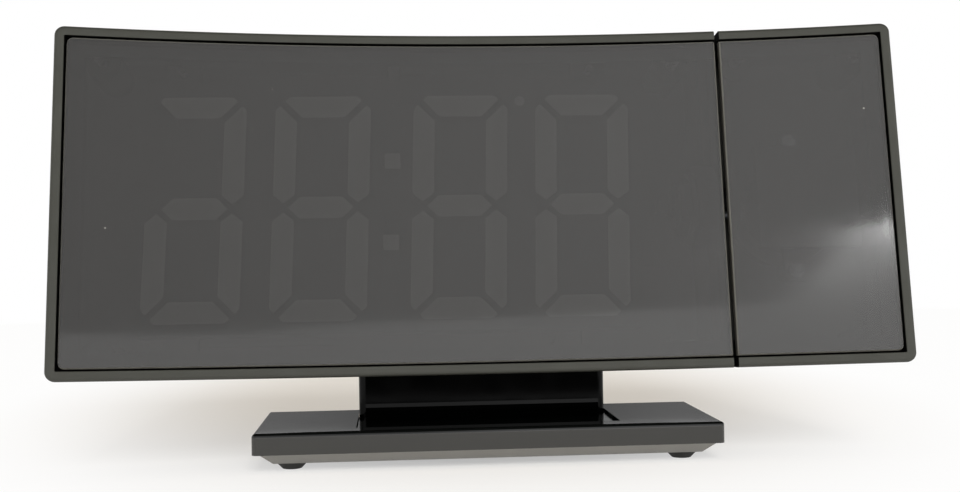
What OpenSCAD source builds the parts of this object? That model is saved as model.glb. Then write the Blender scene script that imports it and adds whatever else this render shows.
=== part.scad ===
// Projection alarm clock. A curved slab leans back on a low stand. Its left part holds a four-digit
// display behind a tinted window. Its right part is a projector, which turns on a hollow spindle so
// that the lens in its back points at the rear wall, the ceiling or the front wall.
//
// World frame: X to the right, Y away from the reader, Z up, origin on the table under the stand's middle.
// Body frame: the same axes leaned back, with its origin in the middle of the face.

/* [Body] */
// Width across the front, in a straight line from end to end
body_w = 190.5; // [182:0.5:204]
// Height along the leaning face
body_h = 79; // [78:0.5:88]
// Depth from the bezel to the back
body_t = 25; // [24.6:0.2:27]
// Radius of the hollow curve of the face
face_r = 570; // [500:10:760]
// Backward lean, in degrees
lean = 9.2; // [7.4:0.2:11]
// Height of the middle of the face above the table
face_z = 59.5; // [59:0.5:64]
// Distance of the middle of the face in front of the stand's middle
face_y = 8.3; // [7.4:0.1:9.2]
// Radius of the body's corners, seen from the front
corner_r = 2.2; // [1.4:0.1:4]
// Radius of the edges round the back
back_r = 4; // [2.5:0.5:5]
// Slope of the body's underside, up towards the back, in degrees
under_slope = 5; // [3.5:0.5:6]
// Wall of the plastic shells
wall = 2; // [1.8:0.1:2.3]
// Depth of the front shells, up to the joint line
split_d = 9; // [8:0.5:10.5]
// Thickness of the lip that centres a rear cover in its front shell
lip_t = 0.85; // [0.7:0.05:1]
// Length of that lip
lip_h = 1.4; // [1:0.1:2]

/* [Bezel and windows] */
// Width of the bezel's front rim
rim_w = 2.2; // [2.05:0.05:3]
// Radius of the rim's outer front edge
rim_edge_r = 0.8; // [0.4:0.1:1]
// Width of the groove between rim and window
groove_w = 0.6; // [0.4:0.05:0.8]
// Thickness of a window
window_t = 2; // [1.5:0.1:2.4]
// How far a window lies below the rim's face
window_sink = 0.2; // [0:0.05:0.4]
// Width of the ledge that a window is bonded to
ledge_w = 4; // [3:0.2:4.4]
// Thickness of that ledge
ledge_t = 1.2; // [1:0.1:1.6]

/* [Display] */
// Height of a digit
digit_h = 52.5; // [46:0.5:54]
// Width of a digit
digit_w = 22; // [20:0.5:23]
// Width of a lit stroke
stroke = 5; // [4:0.2:5.6]
// Gap between two strokes of a digit
stroke_gap = 1.1; // [0.5:0.1:1.2]
// Cut across the outer corners of a digit
digit_cut = 3.2; // [1.4:0.2:4]
// Slant of the digits, in degrees
digit_slant = 1.9; // [0:0.1:4]
// Distance from the hour digits' middles to each other, and the same for the minutes
digit_pitch = 28.6; // [27:0.2:29.2]
// Distance between the middles of the two inner digits, across the colon
colon_pitch = 31.9; // [31:0.1:33]
// Side of a colon dot
dot_w = 3.6; // [3:0.2:5]
// Depth of the digit block
block_t = 7; // [6:0.2:7.2]
// Width of the digit block
block_w = 115; // [114:0.5:118]
// Height of the digit block
block_h = 58.6; // [57:0.2:59]
// Room between window and digit block at its nearest
block_room = 1.2; // [0.8:0.1:1.6]
// Thickness of the circuit boards
board_t = 1.6; // [1:0.1:1.6]

/* [Projector] */
// Width of the projector part
projector_w = 39.1; // [38.5:0.1:41]
// Gap in the face between the two parts
gap_w = 1.1; // [1:0.05:1.4]
// How far the swivel plate stands out into that gap
plate_proud = 0.8; // [0.5:0.05:0.8]
// How far the swivel plate lies inside the body's outline
plate_inset = 1.2; // [0.4:0.1:1.2]
// Radius of the spindle
spindle_r = 5; // [4.6:0.1:5.2]
// Radius of the bore for the cable through the spindle
spindle_bore_r = 3; // [2.4:0.1:3.4]
// Radial running clearance of the spindle in the swivel plate
spindle_play = 0.05; // [0.03:0.01:0.09]
// Turn of the projector from the rear wall to the front wall, in degrees
swivel_turn = 180; // [150:5:180]
// Radius of the optical tube
tube_r = 10.6; // [10.2:0.1:11]
// Radius of the lens barrel
barrel_r = 7.5; // [7:0.1:7.8]
// Travel of the lens barrel between near and far focus
focus_travel = 2; // [1:0.1:2]
// Radius of the focus ring
focus_r = 12; // [11.4:0.1:12.2]
// Ribs round the focus ring
focus_ribs = 36; // [24:2:48]

/* [Controls] */
// Length of a button on the back
button_w = 9; // [7:0.5:10]
// Height of a button on the back
button_h = 5; // [4:0.5:6]
// Distance between the buttons on the back
button_pitch = 12; // [11.4:0.2:13]
// Height of the row of buttons above the body's middle
button_z = 22; // [20:0.5:24]
// How far a button stands out
button_proud = 1; // [0.8:0.1:1.6]
// Travel of a button
button_travel = 0.6; // [0.4:0.1:0.7]
// Length of the snooze button on top
snooze_w = 56; // [40:1:60]
// Depth of the snooze button
snooze_t = 7.6; // [6:0.2:8]
// How far the snooze button stands out
snooze_proud = 0.7; // [0.5:0.1:1.2]
// Running gap round every button
button_gap = 0.25; // [0.2:0.05:0.35]

/* [Battery] */
// Radius of the coin cell
cell_r = 10; // [9.8:0.1:10.2]
// Thickness of the coin cell
cell_t = 3.2; // [2.5:0.1:3.2]
// Turn that opens the battery cap, in degrees
cap_turn = 45; // [40:5:60]

/* [Stand] */
// Width of the stand's plate at its widest
base_w = 105; // [100:0.5:112]
// Depth of the stand's plate at its widest
base_d = 36.6; // [36.2:0.2:42]
// Height of the plate's top above the table
base_z = 9; // [8.6:0.05:9.8]
// Height of the plate's upper shell
base_shell_h = 4.8; // [4.2:0.1:5]
// How far the plate's sides lean in from their widest to the top
base_flare = 1.05; // [0.9:0.05:1.6]
// Radius of the plate's top edge
base_edge_r = 1; // [0.4:0.1:1]
// Radius of the plate's rear corners, seen from above
base_corner_r = 3; // [2:0.5:5]
// Radius of its front corners
base_front_r = 1.2; // [0.8:0.1:3]
// How far the tray steps in under the upper shell
tray_step = 1.4; // [1:0.1:2]
// How far the tray's sides slope in
tray_slope = 2.9; // [2:0.1:3.4]
// Height that the feet lift the tray
foot_h = 1.65; // [1.5:0.05:2]
// Radius of a foot where it meets the tray
foot_r = 3.8; // [3.2:0.1:4]
// Radius of a foot at the table
foot_tip_r = 2.5; // [2:0.1:3]
// Distance between the left and right feet
feet_span = 88.7; // [86.8:0.1:90]
// Distance between the front and rear feet
feet_reach = 19.6; // [18.4:0.2:20]
// Width of the neck
neck_w = 59.5; // [50:0.5:64]
// Place of the neck's front face behind the stand's middle
neck_y = 7.6; // [6.6:0.1:8.4]
// Depth of the pocket in the plate that the neck's foot lies in
pocket_t = 2; // [1.6:0.1:2.2]
// Distance of that pocket behind the plate's front edge
pocket_y = 4.5; // [3.5:0.1:6]
// Thickness of the neck's foot
neck_foot_t = 1.2; // [0.8:0.1:1.4]
// Radius of the hollow between the neck and its foot
neck_fillet_r = 3.4; // [1.5:0.1:4]
// Radius of the neck's upright edges
neck_edge_r = 1.6; // [1:0.1:2.4]
// Height of the neck's pad up the back of the body
pad_h = 22; // [18:0.5:23]
// Thickness of the pad at its top
pad_t = 4; // [3.4:0.1:5]

/* [Hidden] */
$fn = 48;
arc_fn = 720;
overcut = 1;
slip = 0.1;

// Where the two parts of the body end
left_end = -body_w / 2;
right_end = body_w / 2;
projector_x = right_end - projector_w;
main_end = projector_x - gap_w;
main_mid = (left_end + main_end) / 2;
half_h = body_h / 2;
window_seat = window_sink + window_t;
beyond = body_w;

// The face's curve: the place in Y of a surface at depth d behind the face, at x from the body's middle
function y_at(d, x) = sqrt(pow(face_r + d, 2) - x * x) - face_r;
function depth_at(x, y) = norm([x, y + face_r]) - face_r;
// How far the underside has risen at depth d
function under_rise(d) = max(0, d - rim_edge_r) * tan(under_slope);
function arc(c, r, a0, a1, n = 6) =
    [for (i = [0:n]) let (a = a0 + (a1 - a0) * i / n) c + r * [cos(a), sin(a)]];
function corner(p, r, toward, a0) = r > 0 ? arc(p + r * toward, r, a0, a0 + 90) : [p];
function round_rect(x0, x1, z0, z1, rl, rr) = concat(
    corner([x0, z0], rl, [1, 1], 180), corner([x1, z0], rr, [-1, 1], 270),
    corner([x1, z1], rr, [-1, -1], 0), corner([x0, z1], rl, [1, -1], 90));

// Colours
case_grey = [0.3, 0.3, 0.29];
window_grey = [0.2, 0.2, 0.2, 0.85];
gloss_black = [0.05, 0.06, 0.06];
soft_black = [0.12, 0.12, 0.12];
segment_grey = [0.45, 0.45, 0.45];
board_green = [0.1, 0.35, 0.2];
steel = [0.7, 0.7, 0.72];

module in_body() {
    translate([0, -face_y, face_z]) rotate([-lean, 0, 0]) children();
}

// A plan in X and Z, drawn through Y from y0 to y1
module along_y(y0, y1) {
    translate([0, y1, 0]) rotate([90, 0, 0]) linear_extrude(height = y1 - y0) children();
}

// A round bar along Y, and one along X
module bar_y(x, z, r, y0, y1) {
    translate([x, y0, z]) rotate([-90, 0, 0]) cylinder(r = r, h = y1 - y0);
}
module bar_x(y, z, r, x0, x1) {
    translate([x0, y, z]) rotate([0, 90, 0]) cylinder(r = r, h = x1 - x0);
}
module block(x0, x1, y0, y1, z0, z1) {
    translate([x0, y0, z0]) cube([x1 - x0, y1 - y0, z1 - z0]);
}

// The part of a solid between two depths behind the curved face and between two places in X
sweep = asin((body_w / 2 + 12) / face_r);
module swept(points) {
    translate([0, -face_r, 0])
        rotate_extrude(angle = 2 * sweep, start = 90 - sweep, $fn = arc_fn) polygon(points);
}
module clip(x0, x1, d0, d1) {
    intersection() {
        children();
        swept([[face_r + d0, -body_h], [face_r + d1, -body_h], [face_r + d1, body_h], [face_r + d0, body_h]]);
        block(x0, x1, -beyond, beyond, -beyond, beyond);
    }
}

// The plan of the slab at its end, and at the end of its face
function end_round(inset, r) = let (
    c = [right_end - inset - r, y_at(body_t - inset - r, right_end - inset - r)],
    slope = atan2(c.x, c.y + face_r))
    concat(arc(c, r, 0, 90 - slope), [[0, c.y + r / cos(slope) + c.x * tan(slope)]]);
function front_round(inset, r) = let (
    c = [right_end - inset - r, y_at(r, right_end - inset - r)],
    a = atan2(-c.y - face_r, -c.x),
    points = arc(c, r, a, 0))
    concat([[points[0].x, -beyond]], points);

// The whole slab, its faces moved in by inset. The underside slopes up towards the back.
// A front below 0 moves the front face there, and its edge stays sharp.
module envelope(inset = 0, front = 0) {
    r = max(back_r - inset, 0.5);
    h = half_h - inset;
    low = front < 0 ? [[face_r + front, -h], [face_r + rim_edge_r, -h]]
        : arc([face_r + rim_edge_r, rim_edge_r - h], rim_edge_r, 180, 270);
    high = front < 0 ? [[face_r + front, h]]
        : arc([face_r + rim_edge_r, h - rim_edge_r], rim_edge_r, 90, 180);
    back = body_t - inset - r;
    profile = concat(low,
        arc([face_r + back, under_rise(back) + r / cos(under_slope) - h], r, under_slope - 90, 0),
        arc([face_r + back, h - r], r, 0, 90), high);
    start = front < 0 ? [[right_end - inset, -beyond]] : front_round(inset, rim_edge_r);
    half = concat([[0, -beyond]], start, end_round(inset, r));
    plan = concat(half, [for (i = [len(half) - 2:-1:1]) [-half[i].x, half[i].y]]);
    intersection() {
        swept(profile);
        along_y(-beyond, beyond) polygon(round_rect(left_end + inset, right_end - inset, -h, h,
            max(corner_r - inset, 0.3), max(corner_r - inset, 0.3)));
        translate([0, 0, -beyond]) linear_extrude(height = 2 * beyond) polygon(plan);
    }
}

// ---------- Screws ----------
shank_r = 1.3;
head_r = 2.3;
head_h = 1.6;
boss_r = 3.2;
screw_floor = 2;
module screw_y(x, z, seat_y, depth) {
    bar_y(x, z, head_r, seat_y, seat_y + head_h);
    bar_y(x, z, shank_r, seat_y - depth, seat_y);
}

// Case screws stand in the corners of each part
screw_in = 8.5;
projector_screw_in = 5.6;
screw_z = half_h - 5.6;
well_wall = 0.8;
main_screw_x = [left_end + screw_in, main_end - screw_in];
projector_screw_x = [projector_x + projector_screw_in, right_end - projector_screw_in];
function near(x) = abs(x) - boss_r;
case_thread = 5;
function screw_seat(x) = y_at(split_d, x) + screw_floor;

module front_bosses(xs) {
    for (x = xs, z = [-screw_z, screw_z])
        bar_y(x, z, boss_r, y_at(window_seat, near(x)) + slip, y_at(split_d, x));
}
module front_boss_holes(xs) {
    for (x = xs, z = [-screw_z, screw_z])
        bar_y(x, z, shank_r, screw_seat(x) - screw_floor - case_thread + slip, beyond);
}
module rear_wells(xs) {
    for (x = xs, z = [-screw_z, screw_z])
        bar_y(x, z, boss_r + well_wall, y_at(split_d, x), y_at(body_t, x));
}
module rear_well_holes(xs) {
    for (x = xs, z = [-screw_z, screw_z]) {
        bar_y(x, z, shank_r, y_at(split_d, x) - overcut, screw_seat(x));
        bar_y(x, z, head_r + slip, screw_seat(x), beyond);
    }
}
module shell_screws(xs) {
    for (x = xs, z = [-screw_z, screw_z])
        screw_y(x, z, screw_seat(x), screw_floor + case_thread - 2 * slip);
}

// ---------- Shells, shared by the main part and the projector ----------
// x0 and x1 are the part's ends. A wall closes the end at the gap: side is 1 where that is x1, else 0.
end_ledge = 1;
module front_shell(x0, x1, side) {
    in0 = side == 0 ? x0 + wall : x0;
    in1 = side == 1 ? x1 - wall : x1;
    open0 = side == 0 ? x0 - overcut : x0;
    open1 = side == 1 ? x1 + overcut : x1;
    difference() {
        clip(x0, x1, 0, split_d) envelope();
        clip(open0, open1, -overcut, window_seat) envelope(rim_w, -2 * overcut);
        clip(side == 0 ? in0 + end_ledge : x0, side == 1 ? in1 - end_ledge : x1, -overcut, split_d + overcut)
            envelope(rim_w + ledge_w, -2 * overcut);
        clip(in0, in1, window_seat + ledge_t, split_d + overcut) envelope(wall);
        clip(in0, in1, split_d - lip_h - slip, split_d + overcut) envelope(wall - lip_t - slip);
    }
}
module rear_shell(x0, x1, side) {
    in0 = side == 0 ? x0 + wall : x0;
    in1 = side == 1 ? x1 - wall : x1;
    difference() {
        union() {
            clip(x0, x1, split_d, body_t + overcut) envelope();
            clip(side == 0 ? in0 + slip : x0, side == 1 ? in1 - slip : x1, split_d - lip_h, split_d + overcut)
                envelope(wall - lip_t);
        }
        clip(in0, in1, split_d - lip_h - overcut, body_t + overcut) envelope(wall);
    }
}
module window(x0, x1) {
    clip(x0, x1, window_sink, window_seat) envelope(rim_w + groove_w, -overcut);
}

// ---------- Swivel ----------
// It turns about the line through the end wall's middle. The plate and its hub belong to the main part.
axis_y = y_at(body_t / 2, main_end);
run_gap = 0.3;
hub_r = 9.4;
hub_l = 5;
plate_front = 3;
washer_t = 1;
washer_r = 8;
nut_t = 2.4;
nut_r = 7.6;
flange_r = 9;
flange_t = 1.6;
stop_radius = 7.3;
stop_r = 0.85;
stop_l = 1.4;
plate_x = main_end + plate_proud;
hub_x = main_end - hub_l;
washer_x = hub_x - slip - washer_t;
nut_x = washer_x - nut_t;
flange_x = projector_x + wall;
spindle_x = nut_x - 0.6;
// A lead runs through the spindle in two halves. Each half ends in a plug on its board.
lead_r = 1.1;
lead_meet = hub_x + 2;
plug_half = 1.5;
plug_clear = 0.7;
lead_up_x = spindle_x - plug_clear - plug_half;

module axis_bar(r, x0, x1) {
    bar_x(axis_y, 0, r, x0, x1);
}
// A place round the axis: 0 degrees is to the rear, and 90 degrees is up
module round_axis(a, r) {
    translate([0, axis_y, 0]) rotate([a, 0, 0]) translate([0, r, 0]) children();
}
module stop_groove() {
    depth = stop_l + run_gap;
    w = stop_r + run_gap;
    translate([plate_x - depth, axis_y, 0]) rotate([0, 90, 0])
        rotate_extrude(angle = swivel_turn, start = 90)
            translate([stop_radius - w, 0]) square([2 * w, depth + overcut]);
    for (a = [0, swivel_turn])
        round_axis(a, stop_radius) bar_x(0, 0, w, plate_x - depth, plate_x + overcut);
}
flange_screw_r = 0.9;
flange_screw_radius = 7;
flange_screw_angles = [90, 210, 330];
flange_screw_hold = wall - 0.4;
flange_head_r = 1.7;
flange_head_h = 1.1;
module flange_screw_holes(x0, x1) {
    for (a = flange_screw_angles)
        round_axis(a, flange_screw_radius) bar_x(0, 0, flange_screw_r, x0, x1);
}

// ---------- Depths behind the face, from the windows to the back ----------
block_y = y_at(window_seat, 0) + block_room;
board_y = block_y + block_t;
control_gap = 0.8;
control_y = board_y + board_t + control_gap;
control_back = control_y + board_t;

// ---------- Display ----------
display_left = 1.3;
block_clear = 0.5;
display_x = min(main_mid - display_left, lead_up_x - plug_half - block_clear - block_w / 2);
block_x0 = display_x - block_w / 2;
block_x1 = display_x + block_w / 2;
// The display board's ears are screwed to posts between the case screws
ear_w = 8;
ear_in = [17, 19.7];
post_r = 2.3;
post_pilot_r = 0.9;
post_pilot = 4;
ear_clear = 0.3;
ear_x = [main_screw_x[0] + ear_in[0], main_screw_x[1] - ear_in[1]];
ear_far = max(abs(ear_x[0]), abs(ear_x[1])) + ear_w / 2;
ear_z = half_h - wall - under_rise(depth_at(ear_far, board_y + board_t)) - post_r - ear_clear;
small_head_r = 1.9;
small_head_h = 1.3;
block_floor_t = 0.6;
segment_t = block_t - block_floor_t;
inner_x = colon_pitch / 2;
outer_x = inner_x + digit_pitch;
digit_x = [for (x = [-outer_x, -inner_x, inner_x, outer_x]) display_x + x];
digit_z = -0.4;
bar_in = stroke / 2;
bar_out = digit_w / 2;
side_h = digit_h / 2;
// Seven strokes: top, upper right, lower right, bottom, lower left, upper left, middle
cut_less = (digit_cut - stroke_gap) / 2;
cut_more = (digit_cut + stroke_gap) / 2;
function lying(z, dir) = [[digit_cut - bar_out, z], [bar_out - digit_cut, z],
    [bar_out - cut_more, z - dir * cut_less], [bar_out - stroke - stroke_gap, z - dir * stroke],
    [stroke - bar_out + stroke_gap, z - dir * stroke], [cut_more - bar_out, z - dir * cut_less]];
function standing(side, top) = [[side * bar_out, top * (side_h - digit_cut)],
    [side * bar_out, top * (bar_in + stroke_gap / 2)], [side * (bar_out - bar_in), top * stroke_gap],
    [side * (bar_out - stroke), top * (bar_in + stroke_gap / 2)],
    [side * (bar_out - stroke), top * (side_h - stroke - stroke_gap)],
    [side * (bar_out - cut_less), top * (side_h - cut_more)]];
function middle() = let (w = bar_out - bar_in - stroke_gap)
    [[-w, 0], [bar_in - w, bar_in], [w - bar_in, bar_in], [w, 0],
    [w - bar_in, -bar_in], [bar_in - w, -bar_in]];
function strokes() = [lying(side_h, 1), standing(1, 1), standing(1, -1), lying(-side_h, -1),
    standing(-1, -1), standing(-1, 1), middle()];
// The first digit shows only 1 and 2, so it has no upper left stroke
function digit_strokes(k) = [for (i = [0:6]) if (k > 0 || i != 5) strokes()[i]];
colon_z = [10.3, -8.8];
colon_x = display_x + 0.3;
dot_r = 1.2;
dot_x = (digit_x[2] + digit_x[3]) / 2 + 0.4;
dot_z = digit_z + side_h - dot_r - 0.2;
slant = tan(digit_slant);
function slanted(points) = [for (p = points) [p.x + p.y * slant, p.y]];
module lit_shapes(y0, y1) {
    along_y(y0, y1) for (k = [0:3], s = digit_strokes(k))
        translate([digit_x[k], digit_z]) polygon(slanted(s));
    for (z = colon_z) block(colon_x + z * slant - dot_w / 2, colon_x + z * slant + dot_w / 2,
        y0, y1, z - dot_w / 2, z + dot_w / 2);
    bar_y(dot_x, dot_z, dot_r, y0, y1);
}

// ---------- Control board and what it carries ----------
switch_w = 4.6;
switch_t = 2.4;
plunger_r = 1.1;
plunger_t = 0.9;
press_room = 0.15;
stem_w = 3;
button_n = 6;
button_mid = main_mid + 6.1;
function button_x(i) = button_mid + (i - (button_n - 1) / 2) * button_pitch;
button_round = 1.5;
button_flange = 0.6;
button_flange_t = 0.8;
stem_y = control_back + switch_t + plunger_t + button_travel + press_room;
snooze_x = main_mid;
snooze_d = 16;
snooze_flange = 1;
snooze_switch_z = 26.4;
snooze_switch_h = 4.4;
snooze_y = y_at(snooze_d, snooze_x);
control_boss_r = 2.6;
control_head_h = control_gap - slip;
control_screw_z = [-11, 25];
row_end = button_w / 2 + button_flange + control_boss_r + 0.5;
control_screw_x = [button_x(0) - row_end, button_x(button_n - 1) + row_end];
control_x = [control_screw_x[0] - 4, lead_up_x + plug_half];
control_z = [-14, 29];

// ---------- Battery ----------
cell_x = -8;
cell_z = 1;
cell_step = 0.7;
cell_step_t = 0.5;
cap_r = 13;
cap_slot_w = 1.8;
cap_slot_l = 16;
cap_sunk = 0.2;
cap_disc_t = 1.6;
cap_plug_r = 11.2;
lug_r = 12.4;
lug_t = 1;
lug_angle = 40;
notch_angle = 50;
collar_t = 1.2;
cup_wall = 1.4;
contact_t = 0.3;
contact_r = cell_r - 1;
contact_w = 4;
lug_room_r = lug_r + run_gap;
cap_face = y_at(body_t, abs(cell_x) + cap_r) - cap_sunk;
cap_seat = cap_face - cap_disc_t - run_gap;
collar_y = cap_seat - collar_t;
lug_y = collar_y - run_gap - lug_t;
cell_y = lug_y - run_gap - cell_t;
cup_floor = cell_y - contact_t;
cup_floor_t = 1;

// ---------- Speaker ----------
speaker_x = left_end + 20;
speaker_z = -2;
speaker_r = 13;
speaker_t = 1.2;
magnet_r = 6.5;
magnet_t = 2.2;
ring_w = 1.6;
speaker_seat = y_at(body_t - wall, abs(speaker_x) + speaker_r) - slip;
grille_r = 9.6;
grille_hole_r = 0.8;
grille_pitch = 3;

// ---------- Sockets ----------
inlet_x = left_end + 29;
usb_x = left_end + 49;
socket_z = -27;
inlet_w = 9;
inlet_h = 3.3;
usb_w = 13.2;
usb_h = 5.7;
socket_wall = 0.35;
socket_sunk = 0.3;
socket_floor_t = 1.5;
tongue_sunk = 0.8;
inlet_tongue_w = 6.6;
inlet_tongue_t = 0.7;
usb_tongue_w = 11.2;
usb_tongue_z = [0.1, 2];
// The control board has a leg below the speaker, which carries the sockets
leg_x = [left_end + 22, usb_x + usb_w / 2 + 5.4];
leg_clear = 0.4;
leg_z = [small_head_r + leg_clear - ear_z, -18];
function socket_end(x, w) = y_at(body_t, abs(x) + w / 2) - socket_sunk;

// ---------- Stand ----------
pad_screw_x = 20;
pad_screw_z = [-32.5, -22.5];
pad_boss_l = 5.5;
pad_thread = 5;
pad_seat = body_t + 2;
pad_hole_end = body_t - wall - pad_thread;
pad_edge_r = 1.8;
neck_top = face_z - (half_h + (neck_y + face_y) * sin(lean)) / cos(lean) + wall + under_rise(body_t);
pocket_z = base_z - pocket_t;
foot_top = pocket_z + neck_foot_t;
base_back = base_d / 2 - base_flare;
pocket_front = pocket_y - base_d / 2 + base_flare;
shell_z = base_z - base_shell_h;
cavity_t = 1;
neck_screw_x = 18;
neck_screw_y = neck_y + 2.4;
neck_screw_l = 9;
tray_floor_t = 1;
tray_wall = 1.2;
tray_w = base_w / 2 - tray_step;
tray_d = base_d / 2 - tray_step;
tray_in_x = tray_w - tray_slope - tray_wall;
tray_in_y = tray_d - tray_slope - tray_wall;
tray_screw_x = feet_span / 2;
tray_boss_r = 3.2;
tray_screw_seat = foot_h + head_h + 0.2;
tray_thread = 3;
ballast_w = 2 * (feet_span / 2 - foot_r - 1);
ballast_d = 2 * (tray_in_y - 2 * slip);
foot_peg_r = 1.4;
back_round_r = 8;
function world(y, z) = [y * cos(lean) + z * sin(lean) - face_y, z * cos(lean) - y * sin(lean) + face_z];

// ---------- Projector ----------
lens_x = (projector_x + right_end) / 2;
lens_rim_r = focus_r + 2.4;
lens_face = y_at(body_t, lens_x - lens_rim_r) + 0.3;
ring_proud = 2;
ring_rim_l = 3;
rib_r = 0.45;
rib_in = [0.4, 0.5];
ring_end = lens_face + ring_proud;
ring_flange_r = focus_r + 0.9;
ring_flange_t = 1;
lip_under = lens_face - 2.9;
ring_y = lip_under - run_gap - ring_flange_t;
ring_bore_end = lens_face - 0.4;
tube_neck_r = tube_r - 1.2;
tube_neck_end = ring_bore_end - run_gap;
tube_shoulder = ring_y - 0.4;
lamp_y = y_at(window_seat + ledge_t, lens_x - tube_r) + 0.1;
tube_y = lamp_y + board_t;
lamp_half = 12;
lamp_chip_w = 3.4;
lamp_chip_t = 0.7;
lamp_dome_r = 1.3;
chamber_r = 8.9;
chamber_l = 8.2;
ear_half = 2.6;
ear_out = tube_r + 5.2;
ear_t = 1.6;
ear_y = tube_y + 10.6;
key_w = 1.6;
key_out = 1;
key_l = 4;
barrel_end = ring_end - focus_travel - 0.2;
barrel_room = 1.9;
barrel_in_r = barrel_r - 1.2;
lens_seat = 0.4;
lens_r = barrel_in_r + lens_seat;
lens_sink = 1;
lens_t = 2.6;
lens_ball = 15;
condenser_y = tube_y + 2.2;
condenser_t = 3.6;
condenser_ball = 16;
slide_y = tube_y + 6.4;
slide_t = 1.4;
slide_half = 6.1;
barrel_y = slide_y + slide_t + barrel_room;
lead_flat = 0.6;
lead_down_x = flange_x + flange_t + lead_flat + 1.3;

// ========== Main part ==========
module front_case() {
    color(case_grey) in_body() difference() {
        union() {
            front_shell(left_end, main_end, 1);
            front_bosses(main_screw_x);
            for (x = ear_x, z = [-ear_z, ear_z])
                bar_y(x, z, post_r, y_at(window_seat, x) + ledge_t / 2, board_y);
        }
        front_boss_holes(main_screw_x);
        for (x = ear_x, z = [-ear_z, ear_z])
            bar_y(x, z, post_pilot_r, board_y - post_pilot, board_y + overcut);
        axis_bar(hub_r + slip, main_end - wall - overcut, main_end + overcut);
    }
}

module rear_cover() {
    color(case_grey) in_body() difference() {
        union() {
            rear_shell(left_end, main_end, 1);
            intersection() {
                envelope();
                union() {
                    rear_wells(main_screw_x);
                    for (x = control_screw_x, z = control_screw_z)
                        bar_y(x, z, control_boss_r, control_back, y_at(body_t - wall / 2, x));
                    for (x = [-pad_screw_x, pad_screw_x], z = pad_screw_z)
                        bar_y(x, z, boss_r, y_at(body_t - wall, x) - pad_boss_l, y_at(body_t - wall / 2, x));
                    bar_y(cell_x, cell_z, lug_room_r + cup_wall, cup_floor - cup_floor_t,
                        y_at(body_t - wall / 2, cell_x));
                    bar_y(speaker_x, speaker_z, speaker_r + ring_w / 2, speaker_seat,
                        y_at(body_t - wall / 2, speaker_x));
                }
            }
        }
        rear_well_holes(main_screw_x);
        axis_bar(hub_r + slip, main_end - wall - overcut, main_end + overcut);
        for (x = control_screw_x, z = control_screw_z)
            bar_y(x, z, post_pilot_r, control_back - overcut, control_back + post_pilot);
        for (x = [-pad_screw_x, pad_screw_x], z = pad_screw_z)
            bar_y(x, z, shank_r, pad_hole_end, pad_seat);
        battery_hollow();
        speaker_hollow();
        for (i = [0:button_n - 1])
            along_y(y_at(body_t - wall, abs(button_x(i)) + button_w) - overcut, body_t + overcut)
                button_outline(i, button_gap);
        clip(snooze_x - snooze_w / 2 - button_gap, snooze_x + snooze_w / 2 + button_gap,
            snooze_d - snooze_t / 2 - button_gap, snooze_d + snooze_t / 2 + button_gap)
            block(left_end, right_end, -beyond, beyond, half_h - wall - overcut, half_h + overcut);
        along_y(control_back, body_t + overcut) translate([inlet_x, socket_z])
            oval(inlet_w + 2 * slip, inlet_h + 2 * slip);
        block(usb_x - usb_w / 2 - slip, usb_x + usb_w / 2 + slip, control_back, body_t + overcut,
            socket_z - usb_h / 2 - slip, socket_z + usb_h / 2 + slip);
    }
}
module oval(w, h) {
    square([w - h, h], center = true);
    for (x = [-(w - h) / 2, (w - h) / 2]) translate([x, 0]) circle(r = h / 2);
}
module button_outline(i, grow) {
    polygon(round_rect(button_x(i) - button_w / 2 - grow, button_x(i) + button_w / 2 + grow,
        button_z - button_h / 2 - grow, button_z + button_h / 2 + grow,
        button_round + grow, button_round + grow));
}
// The well for the cell and its cap, with a collar that the cap's lugs turn under
module battery_hollow() {
    bar_y(cell_x, cell_z, cell_r + slip, cup_floor, cell_y + cell_t + overcut);
    bar_y(cell_x, cell_z, lug_room_r, lug_y - run_gap, collar_y);
    bar_y(cell_x, cell_z, cap_plug_r + run_gap, collar_y - overcut, cap_seat + overcut);
    bar_y(cell_x, cell_z, cap_r + run_gap, cap_seat, body_t + overcut);
    for (a = [0, 180])
        wedge(lug_room_r, notch_angle, a - cap_turn, collar_y - overcut / 2, cap_seat + overcut / 2);
}
// A sector about the cap's axis. Turning it by a positive angle follows the cap's own turn.
module wedge(r, opening, a, y0, y1) {
    translate([cell_x, y0, cell_z]) rotate([-90, 0, 0])
        rotate_extrude(angle = opening, start = 90 - a - opening / 2) square([r, y1 - y0]);
}
module speaker_hollow() {
    intersection() {
        envelope(wall);
        bar_y(speaker_x, speaker_z, speaker_r - ring_w, speaker_seat - overcut, body_t);
    }
    n = floor(grille_r / grille_pitch);
    for (i = [-n:n], j = [-n:n])
        let (x = grille_pitch * (i + j / 2), z = grille_pitch * j * sin(60))
            if (norm([x, z]) <= grille_r)
                bar_y(speaker_x + x, speaker_z + z, grille_hole_r, speaker_seat - overcut, body_t + overcut,
                    $fn = 24);
}

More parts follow.
